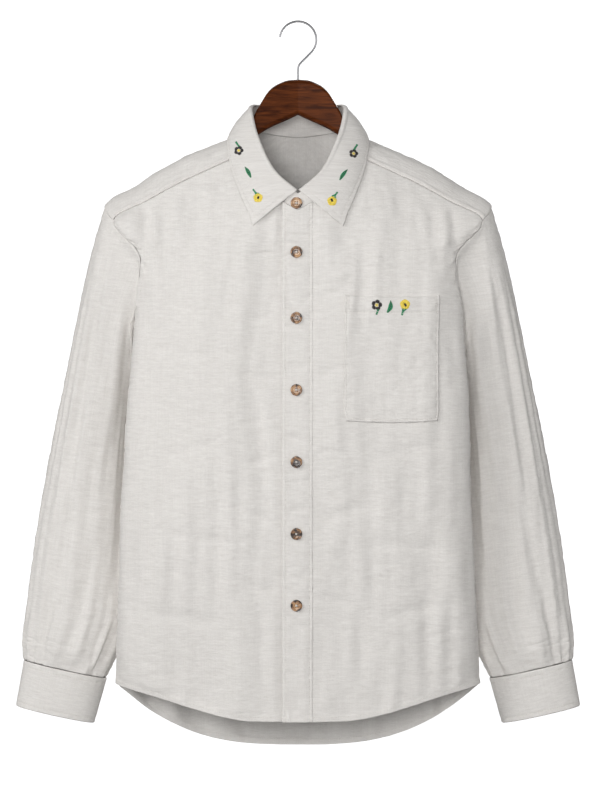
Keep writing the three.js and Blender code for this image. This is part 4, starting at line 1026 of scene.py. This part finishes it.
def sleeve_grid():
    way, index = np.meshgrid(sleeve_ways, np.arange(SLEEVE_COLUMNS) * 36 / SLEEVE_COLUMNS, indexing="ij")
    rounds = index * 10
    grow = 1.4 * fold_height(SLEEVE_FOLDS, rounds, way) + 1.5 * fold_height(FINE_FOLDS, rounds, way)
    grow += 2.6 * noise(rounds, way * 560, 13, 300, 104) * smooth((way - 0.02) / 0.1)
    grow += 1.2 * noise(rounds, way * 560, 6, 110, 105) * smooth((way - 0.02) / 0.1)
    near_cuff = smooth((way - 0.8) / 0.13) * (0.35 + 0.65 * smooth((1 - way) / 0.05))
    uneven = 22 * noise(rounds, way * 100, 40, 900, 101)
    wave = np.cos(np.radians((rounds + uneven) * 9))
    grow += 2.2 * near_cuff * (wave + 0.3 * np.cos(np.radians((rounds + uneven) * 18)))
    tight = smooth((way - 0.93) / 0.06)
    wave_small = noise(rounds, way * 560, 6.0, 26, 103)
    grow += 1.1 * tight * wave_small * smooth((1.002 - way) / 0.01)
    places = np.arange(37)
    seam = body(np.interp(index, places, loop_turns), np.interp(index, places, loop_drops))
    set_in = 0.17
    on_ring = arm(SLEEVE_RINGS, np.maximum(way, set_in), rounds, grow)
    ahead = arm(SLEEVE_RINGS, way * 0 + set_in + 0.01, rounds, 0 * grow)
    behind = arm(SLEEVE_RINGS, way * 0 + set_in - 0.01, rounds, 0 * grow)
    leaving = (arm(SLEEVE_RINGS, way * 0 + 0.07, rounds, 0 * grow) - seam) / 0.07
    t = np.clip(way / set_in, 0, 1)[..., None]
    curved = (1 + 2 * t) * (1 - t) ** 2 * seam + t * (1 - t) ** 2 * leaving * set_in
    curved += t * t * (3 - 2 * t) * on_ring + t * t * (t - 1) * (ahead - behind) / 0.02 * set_in
    return way, rounds, curved


way, rounds, base = sleeve_grid()
out = grid_out(base, -1, ring=True)
along_arm = base[..., 0] * 0.149 - base[..., 2] * 0.989
run = down_length(base)
left_over = run[-1] - run
height = crinkle(rounds, along_arm, 111) * smooth(run / 8) * smooth(left_over / 8)
UNDERARM_SEAM = 196
height += groove(run, 0, 1.0, 1.3) + groove(np.abs(rounds - UNDERARM_SEAM), 0, 0.8, 1.2)
height += groove(left_over, 0, 0.5, 1.5)
strip = smooth((8.5 - np.abs((rounds - 270) * 0.85)) / 1.2) * smooth((130 - left_over) / 2)
height += 1.1 * strip
beside_hole = smooth((rounds - 62) / 25) * smooth((170 - rounds) / 25)
height -= 5 * beside_hole * smooth(run / 14) * smooth((100 - run) / 80)
valley = 146 - 16 * smooth((way - 0.1) / 0.2)
hollow = 9 * np.exp(-(((rounds - valley) / 16) ** 2))
height -= hollow * smooth((way - 0.08) / 0.18) * smooth((0.75 - way) / 0.35)
base = base + out * height[..., None]
for side, name in ((1, "left"), (-1, "right")):
    points = base * np.array([side, 1, 1])
    sleeve = shell("sleeve_%s_cloth" % name, points, grid_out(points, -side, ring=True), CLOTH,
                   np.stack([rounds * 0.95 * side, -along_arm], -1), ring=True)
    sew(sleeve, "sleeve_" + name)

# Cuffs. Stiffened bands, whose ends lap at the back of the wrist and button there, with a row of stitches
# under the seam and another above the edge.
CUFF_RINGS = [(0, 352.5, -815.5, 23, 246, -839.5, 28, 26), (1, 362.5, -874, 21, 262, -897, 26, 24)]
CUFF_LAP_START, CUFF_LAP, CUFF_DEEP, STIFF = 262, 24, 59.4, 1.9
cuff_rounds = CUFF_LAP_START + (360 + CUFF_LAP) * np.linspace(0, 1, 176)
cuff_downs = np.concatenate([
    [0, 0.5, 1.1, 1.9, 2.8, 3.8, 4.8, 5.8, 6.8, 7.8, 9], np.linspace(11, 47.5, 16),
    [49.5, 50.5, 51.4, 52.3, 53.2, 54.2, 55.3, 56.4, 57.4, 58.2, 58.8, CUFF_DEEP]]) / CUFF_DEEP
way, rounds = np.meshgrid(cuff_downs, cuff_rounds, indexing="ij")


def cuff_surface(rounds, way):
    lapped = smooth((rounds - CUFF_LAP_START - 352) / 8)
    return arm(CUFF_RINGS, way, rounds, lapped * (STIFF + 0.3))


base = cuff_surface(rounds, way)
out = grid_out(base, -1)
from_top, from_foot = way * CUFF_DEEP, (1 - way) * CUFF_DEEP
from_end = np.minimum(rounds - rounds.min(), rounds.max() - rounds) * 0.9
edge = np.minimum(np.minimum(from_top, from_foot), from_end)
height = 0.35 * crinkle(rounds * 0.9, from_top * 1.3, 121) * smooth(edge / 6)
height += groove(from_top, 6.6, 0.4, 0.8) + groove(from_foot, 6.4, 0.4, 0.8)
height -= 0.8 * smooth((1.2 - edge) / 1.2)
height += 0.35 * noise(rounds, from_top, 5.5, 30, 124) * (
    np.exp(-((from_top - 6) / 4) ** 2) + np.exp(-((from_foot - 6) / 4) ** 2))
base = base + out * height[..., None]
for side, name in ((1, "left"), (-1, "right")):
    points = base * np.array([side, 1, 1])
    facing = grid_out(points, -side)
    cuff = shell("cuff_%s_cloth" % name, points, facing, 1.6,
                 np.stack([rounds * 0.9 * side, -from_top], -1))
    field = np.concatenate([points, facing], -1).transpose(1, 0, 2)
    rows = [line_at(field, from_top.T, at)[6:-6] for at in (6.6, 53.0)]
    upright = np.concatenate([points, facing], -1)[6:-6]
    rows += [upright[:, 6], upright[:, -7]]
    cuff_stitches = stitches("cuff_%s_stitches" % name, rows)
    sew(cuff, "cuff_" + name)

# Collar band. A stiffened strip of the same cotton that stands on the neck seam. Its ends lap at the
# throat, under the top button, and the leaf is sewn to its upper edge.
FOLD_HEIGHTS = [-225, -198, -152, -114, -107.5, -105]
BAND_END, BAND_SINK = 15, 2.4


def collar_fold(rounds):
    return oval(61.5, 62, -21, FOLD_HEIGHTS, rounds)


def sideways(rounds):
    a = np.radians(rounds)
    return np.stack([np.sin(a), -np.cos(a), 0 * a], -1)


band_rounds = np.linspace(-BAND_END, 360 + BAND_END, 240)
up, rounds = np.meshgrid(
    np.concatenate([np.linspace(1, 0.1, 16), [0.07, 0.04, 0.012]]), band_rounds, indexing="ij")
low, high = neck_seam(wrapped(rounds)), collar_fold(wrapped(rounds))
under = smooth((rounds - 360 + BAND_END + 16) / 14)
points = low + (high - low) * up[..., None] - sideways(rounds) * (under * BAND_SINK)[..., None]
run = (1 - up) * 32
points = points + sideways(rounds) * (0.3 * noise(rounds, run, 14, 9, 131))[..., None]
band = shell("collar_band_cloth", points, sideways(rounds), 1.5, np.stack([rounds * 1.12, -run], -1))
sew(band, "collar_band")

# Collar leaf. Two plies over a stiffener, turned out through their points, with stitches close to the edge.
# It rolls over the band and falls on the yoke and the fronts.
LEAF_EDGE_ROUNDS = [3, 20, 35, 50, 65, 80, 100, 125, 150, 180]
LEAF_EDGE_TURNS = [16.3, 23.7, 31, 40, 52, 67, 86, 113, 143, 180]
LEAF_EDGE_DROPS = [102.5, 71.4, 55.2, 43, 35, 29.5, 26, 18, 13, 11]
ROLL, LEAF_REST, LEAF_BULGE = 3.45, 2.5, 3.5


def leaf(rounds, way):
    fold, out = collar_fold(rounds), sideways(rounds)
    centre = fold - out * (STIFF / 2)
    along = collar_fold(wrapped(rounds + 1)) - collar_fold(rounds - 1)
    up = unit(np.cross(out, along))
    angle = np.radians(np.where(way < 0, -way * 150, 0))[..., None]
    top = centre + out * ROLL * np.cos(angle) + up * ROLL * np.sin(angle)
    turn = curve(LEAF_EDGE_ROUNDS, LEAF_EDGE_TURNS, rounds)
    drop = curve(LEAF_EDGE_ROUNDS, LEAF_EDGE_DROPS, rounds)
    edge = body(turn, drop) + body_out(turn, drop) * LEAF_REST
    share = np.clip(way, 0, 1)[..., None]
    return top + (edge - top) * share + out * LEAF_BULGE * np.sin(np.pi * share)


half_shares = np.concatenate([
    [0, 0.003, 0.0065, 0.011, 0.016, 0.022, 0.03, 0.04], np.linspace(0.052, 1, 105)])
LEAF_ROW = 6.5
half_rounds = 3 + 177 * half_shares ** 1.15
leaf_ways = np.concatenate([
    np.linspace(-1, 0, 12)[:-1], np.linspace(0, 0.86, 28)[:-1],
    [0.86, 0.885, 0.905, 0.92, 0.935, 0.95, 0.962, 0.974, 0.984, 0.992, 1]])
way, rounds = np.meshgrid(leaf_ways, half_rounds, indexing="ij")
half = leaf(rounds, way)
points = np.concatenate([half, (half * [-1, 1, 1])[:, -2::-1]], 1)
steps = np.linalg.norm(np.diff(points, axis=1), axis=2)
across = np.concatenate([np.zeros((len(points), 1)), np.cumsum(steps, 1)], 1)
run = down_length(points)
left_over = run[-1] - run
from_front = np.minimum(across, across[:, -1:] - across)
on_fall = smooth((np.concatenate([way, way[:, -2::-1]], 1) - 0.02) / 0.1)
edge = np.minimum(left_over, from_front + 100 * (1 - on_fall))
out = grid_out(points)
crinkled = 0.4 * crinkle(across, points[..., 2], 141) * smooth(edge / 6)
height = on_fall * (crinkled + groove(edge, LEAF_ROW, 0.45, 0.9))
height += on_fall * (0.3 * noise(across, run, 8, 8, 145) * np.exp(-((edge - 6) / 4) ** 2))
height -= 0.7 * smooth((1.1 - edge) / 1.1)
points = points + out * height[..., None]
facing = grid_out(points)
collar = shell("collar_leaf_cloth", points, facing, 1.6,
               np.stack([across - across[:, -1:] / 2, points[..., 2]], -1))
field = np.concatenate([points, facing], -1)
near_foot = np.concatenate([field, from_front[..., None]], -1).transpose(1, 0, 2)[:, ::-1]
foot_row = line_at(near_foot, left_over.T[:, ::-1], LEAF_ROW)
rows = [foot_row[foot_row[:, 6] > LEAF_ROW, :6]]
for turned in (1, -1):
    near_front = np.concatenate([field, left_over[..., None]], -1)[:, ::turned]
    in_from = (across if turned > 0 else across[:, -1:] - across)[:, ::turned]
    front_row = line_at(near_front, in_from, LEAF_ROW)
    rows.append(front_row[(front_row[:, 6] > LEAF_ROW) & (leaf_ways > 0.1), :6])
collar_stitches = stitches("collar_leaf_stitches", rows)
motifs = stem_stitches([(-78.6, -156.5), (-73.9, -163.5)]) + stem_stitches([(74.7, -160.4), (70.0, -168.3)])
motifs += dark_flower(-74.5, -168.5, 22, 6.4) + dark_flower(69.8, -172.7, 14, 6.1)
motifs += leaf_stitches(-66.9, -189.6, -58.8, -204.4, 0.7, 5.2)
motifs += leaf_stitches(62.4, -193.2, 52.0, -207.7, -0.7, 5.0)
motifs += stem_stitches([(-56.3, -219.1), (-52.7, -224.1), (-52.3, -228.0)], 2.1)
motifs += stem_stitches([(-52.7, -223.9), (-48.3, -225.2)], 1.8)
motifs += stem_stitches([(49.3, -223.0), (46.1, -227.0), (46.1, -231.0)], 2.1)
motifs += stem_stitches([(46.1, -226.8), (42.1, -228.4)], 1.8)
motifs += yellow_flower(-49.8, -230.2, 6.4, (-48.5, -228.0, -49.9, -232.0))
motifs += yellow_flower(42.4, -234.5, 6.5, (40.9, -230.9, 42.9, -235.3))
collar_embroidery = embroider("collar_embroidery", collar, motifs)
sew(collar, "collar_leaf")

# Buttons. Seven down the front and one on each cuff, turned from mottled horn with a raised rim and four
# holes, and sewn on with crossed ecru thread. Each is turned a different way, so its dark part varies.
horn = bpy.data.materials.new("mottled_horn")
horn.use_nodes = True
horn_nodes, horn_links = horn.node_tree.nodes, horn.node_tree.links
horn_shade = horn_nodes["Principled BSDF"]
horn_shade.inputs["Roughness"].default_value = 0.24
horn_shade.inputs["Coat Weight"].default_value = 0.12
horn_shade.inputs["Specular IOR Level"].default_value = 0.3
horn_shade.inputs["Coat Roughness"].default_value = 0.12
horn_place = horn_nodes.new("ShaderNodeTexCoord")
horn_cloud = horn_nodes.new("ShaderNodeTexNoise")
horn_cloud.inputs["Scale"].default_value = 120
horn_cloud.inputs["Detail"].default_value = 4
horn_cloud.inputs["Distortion"].default_value = 0.6
horn_links.new(horn_place.outputs["Object"], horn_cloud.inputs["Vector"])
horn_ramp = horn_nodes.new("ShaderNodeValToRGB")
horn_ramp.color_ramp.elements[0].position = 0.45
horn_ramp.color_ramp.elements[0].color = (0.022, 0.010, 0.006, 1)
horn_ramp.color_ramp.elements[1].position = 0.63
horn_ramp.color_ramp.elements[1].color = (0.46, 0.27, 0.135, 1)
horn_middle = horn_ramp.color_ramp.elements.new(0.51)
horn_middle.color = (0.22, 0.11, 0.05, 1)
horn_links.new(horn_cloud.outputs["Fac"], horn_ramp.inputs["Fac"])
horn_links.new(horn_ramp.outputs["Color"], horn_shade.inputs["Base Color"])
HORN_PROFILE = [
    (0, 0), (2.6, 0), (5.2, 0), (6.1, 0.15), (6.8, 0.5), (7.2, 0.95), (7.3, 1.4), (7.25, 1.85), (7.0, 2.25),
    (6.6, 2.48), (6.1, 2.55), (5.65, 2.45), (5.3, 2.22), (4.9, 2.0), (4.4, 1.88), (3.9, 1.82),
]
HORN_TOP = [3.5 - 0.16 * k for k in range(22)] + [0]
HOLES = [(1.35, 1.35), (-1.35, 1.35), (-1.35, -1.35), (1.35, -1.35)]
# One crossing thread: how far along it has come, and its height over the button's foot
THREAD_PATH = ((0, 0.5), (0.06, 1.5), (0.2, 2.05), (0.5, 2.2), (0.8, 2.05), (0.94, 1.5), (1, 0.5))


def horn_button(name, number):
    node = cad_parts[name]
    corners = np.array([v.co[:] for v in node.data.vertices]) / MM
    middle = corners.mean(0)
    axis = np.linalg.svd(corners - middle)[2][2]
    axis = axis * np.sign(axis[1]) * (1 if "cuff" in name else -1)
    foot = middle + axis * ((corners - middle) @ axis).min()
    right = unit(np.cross([0, 0, 1], axis))
    upward = np.cross(axis, right)
    spin = np.radians(11 * np.sin(number * 2.3))
    across = right * np.cos(spin) + upward * np.sin(spin)
    other = np.cross(axis, across)
    radii = np.array([r for r, _ in HORN_PROFILE] + HORN_TOP)
    heights = np.array([h for _, h in HORN_PROFILE] + [1.8] * len(HORN_TOP))
    spokes = 72
    a = 2 * np.pi * np.arange(spokes) / spokes
    p, q = radii[:, None] * np.cos(a), radii[:, None] * np.sin(a)
    h = heights[:, None] + 0 * p
    on_top = (np.arange(len(radii)) >= len(HORN_PROFILE))[:, None]
    for hx, hy in HOLES:
        h = h - on_top * 1.5 * smooth((0.92 - np.hypot(p - hx, q - hy)) / 0.24)
    points = foot + p[..., None] * across + q[..., None] * other + h[..., None] * axis
    rings = len(radii) - 2
    flat = np.concatenate([points[:1, 0], points[1:-1].reshape(-1, 3), points[-1:, 0]]) * MM
    k = 1 + np.arange(spokes)
    after = 1 + (np.arange(spokes) + 1) % spokes
    faces = [[0, int(n), int(m)] for m, n in zip(k, after)]
    for r in range(rings - 1):
        faces += (np.stack([k, after, after + spokes, k + spokes], -1) + r * spokes).tolist()
    last = (rings - 1) * spokes
    faces += [[int(m) + last, int(n) + last, rings * spokes + 1] for m, n in zip(k, after)]
    mesh = bpy.data.meshes.new(name + "_horn")
    mesh.from_pydata(flat.tolist(), [], faces)
    mesh.polygons.foreach_set("use_smooth", np.ones(len(mesh.polygons), bool))
    mesh.materials.append(horn)
    mesh.update()
    face_outwards(mesh)
    disc = bpy.data.objects.new(name + "_horn", mesh)
    bpy.context.scene.collection.objects.link(disc)
    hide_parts(name)
    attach(disc, "root")
    centres = []
    for cross, rise in ((0, 0), (1, 0.34)):
        start, end = np.array(HOLES[cross]), np.array(HOLES[cross + 2])
        aside = np.array([-(end - start)[1], (end - start)[0]]) / np.linalg.norm(end - start)
        for offset in (-0.27, 0.27):
            line = []
            for t, height in THREAD_PATH:
                u, v = start + (end - start) * t + aside * offset
                lift = height + rise * np.sin(np.pi * t)
                line.append(foot + u * across + v * other + lift * axis)
            centres.append(line)
    upward_all = np.broadcast_to(axis, (4, 7, 3))
    thread = thread_mesh(name + "_thread", np.array(centres), upward_all, 0.3, [sewing_thread])


button_names = sorted(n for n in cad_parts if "button" in n)
for number, name in enumerate(button_names):
    horn_button(name, number)

# Hanger. A contoured bar of stained walnut whose arms sweep forward under the yoke, and a hook of bright
# steel wire set into a blind hole in its middle. Both keep the shape of the part's own solids.
walnut = bpy.data.materials.new("stained_walnut")
walnut.use_nodes = True
wood_nodes, wood_links = walnut.node_tree.nodes, walnut.node_tree.links
wood_shade = wood_nodes["Principled BSDF"]
wood_shade.inputs["Specular IOR Level"].default_value = 0.05
wood_place = wood_nodes.new("ShaderNodeTexCoord")
wood_stretch = wood_nodes.new("ShaderNodeMapping")
wood_stretch.inputs["Scale"].default_value = (14, 150, 260)
wood_links.new(wood_place.outputs["Object"], wood_stretch.inputs["Vector"])
wood_grain = wood_nodes.new("ShaderNodeTexNoise")
wood_grain.inputs["Scale"].default_value = 1
wood_grain.inputs["Detail"].default_value = 6
wood_grain.inputs["Distortion"].default_value = 0.8
wood_links.new(wood_stretch.outputs["Vector"], wood_grain.inputs["Vector"])
wood_ramp = wood_nodes.new("ShaderNodeValToRGB")
wood_ramp.color_ramp.elements[0].position = 0.32
wood_ramp.color_ramp.elements[0].color = (0.03, 0.006, 0.001, 1)
wood_ramp.color_ramp.elements[1].position = 0.7
wood_ramp.color_ramp.elements[1].color = (0.13, 0.033, 0.007, 1)
wood_links.new(wood_grain.outputs["Fac"], wood_ramp.inputs["Fac"])
wood_links.new(wood_ramp.outputs["Color"], wood_shade.inputs["Base Color"])
wood_rough = wood_nodes.new("ShaderNodeMapRange")
wood_rough.inputs["To Min"].default_value = 0.3
wood_rough.inputs["To Max"].default_value = 0.48
wood_links.new(wood_grain.outputs["Fac"], wood_rough.inputs["Value"])
wood_links.new(wood_rough.outputs["Result"], wood_shade.inputs["Roughness"])
wood_bump = wood_nodes.new("ShaderNodeBump")
wood_bump.inputs["Strength"].default_value = 0.25
wood_bump.inputs["Distance"].default_value = 0.0004
wood_links.new(wood_grain.outputs["Fac"], wood_bump.inputs["Height"])
wood_links.new(wood_bump.outputs["Normal"], wood_shade.inputs["Normal"])
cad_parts["hanger_wood"].data.materials.clear()
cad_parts["hanger_wood"].data.materials.append(walnut)
steel = bpy.data.materials.new("bright_steel_wire")
steel.use_nodes = True
steel_nodes, steel_links = steel.node_tree.nodes, steel.node_tree.links
steel_shade = steel_nodes["Principled BSDF"]
steel_shade.inputs["Base Color"].default_value = (0.17, 0.17, 0.175, 1)
steel_shade.inputs["Metallic"].default_value = 1.0
steel_place = steel_nodes.new("ShaderNodeTexCoord")
steel_scuff = steel_nodes.new("ShaderNodeTexNoise")
steel_scuff.inputs["Scale"].default_value = 500
steel_links.new(steel_place.outputs["Object"], steel_scuff.inputs["Vector"])
steel_rough = steel_nodes.new("ShaderNodeMapRange")
steel_rough.inputs["To Min"].default_value = 0.15
steel_rough.inputs["To Max"].default_value = 0.32
steel_links.new(steel_scuff.outputs["Fac"], steel_rough.inputs["Value"])
steel_links.new(steel_rough.outputs["Result"], steel_shade.inputs["Roughness"])
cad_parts["hanger_hook"].data.materials.clear()
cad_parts["hanger_hook"].data.materials.append(steel)

# Studio. A seamless white floor that curves up into walls all round, soft light from above and in front,
# and a camera level with the middle of the shirt.
profile = [
    (0, -1500), (3600, -1500), (4200, -1440), (4650, -1250), (4900, -900), (5000, -300), (5000, 4200),
]
spokes = 64
stage_points, stage_faces = [], []
for radius, z in profile:
    for k in range(spokes):
        a = 2 * np.pi * k / spokes
        stage_points.append((radius * np.cos(a) * MM, radius * np.sin(a) * MM, z * MM))
for r in range(len(profile) - 1):
    for k in range(spokes):
        m = (k + 1) % spokes
        stage_faces.append((r * spokes + k, r * spokes + m, (r + 1) * spokes + m, (r + 1) * spokes + k))
floor_mesh = bpy.data.meshes.new("studio_floor")
floor_mesh.from_pydata(stage_points, [], stage_faces)
floor_mesh.update()
floor = bpy.data.objects.new("studio_floor", floor_mesh)
bpy.context.scene.collection.objects.link(floor)
paper = bpy.data.materials.new("white_paper")
paper.use_nodes = True
paper_shade = paper.node_tree.nodes["Principled BSDF"]
paper_shade.inputs["Base Color"].default_value = (0.9, 0.9, 0.9, 1)
paper_shade.inputs["Emission Color"].default_value = (1, 1, 1, 1)
paper_shade.inputs["Emission Strength"].default_value = 0.9
floor_mesh.materials.append(paper)
floor.visible_diffuse = False
floor.visible_shadow = False
floor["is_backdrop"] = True

world = bpy.data.worlds.new("soft_room")
bpy.context.scene.world = world
world.use_nodes = True
world.node_tree.nodes["Background"].inputs["Color"].default_value = (1, 1, 1, 1)
world.node_tree.nodes["Background"].inputs["Strength"].default_value = 0.2
bpy.context.scene.view_settings.view_transform = "Standard"


def soft_light(name, place, aim, size, watts):
    light = bpy.data.lights.new(name, "AREA")
    light.shape = "RECTANGLE"
    light.size, light.size_y = size
    light.energy = watts
    lamp = bpy.data.objects.new(name, light)
    lamp.location = Vector(place) * MM
    lamp.rotation_euler = (Vector(aim) - Vector(place)).to_track_quat("-Z", "Y").to_euler()
    bpy.context.scene.collection.objects.link(lamp)


soft_light("key_light", (-2600, -2200, 800), (0, 0, -480), (1.3, 1.3), 46)
soft_light("front_light", (-400, -3450, -240), (0, 0, -440), (1.2, 1.2), 61)
soft_light("fill_light", (2400, -3000, 200), (0, 0, -480), (2.0, 2.0), 17)
soft_light("back_light", (900, 3200, 500), (0, 0, -480), (2.0, 2.0), 75)

eye = bpy.data.cameras.new("eye")
eye.sensor_fit = "VERTICAL"
eye.sensor_height = 24
eye.lens = 78
camera = bpy.data.objects.new("eye", eye)
camera.location = (0.0025, -3.32, -0.482)
camera.rotation_euler = (np.pi / 2, 0, 0)
bpy.context.scene.collection.objects.link(camera)
bpy.context.scene.camera = camera

low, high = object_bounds()
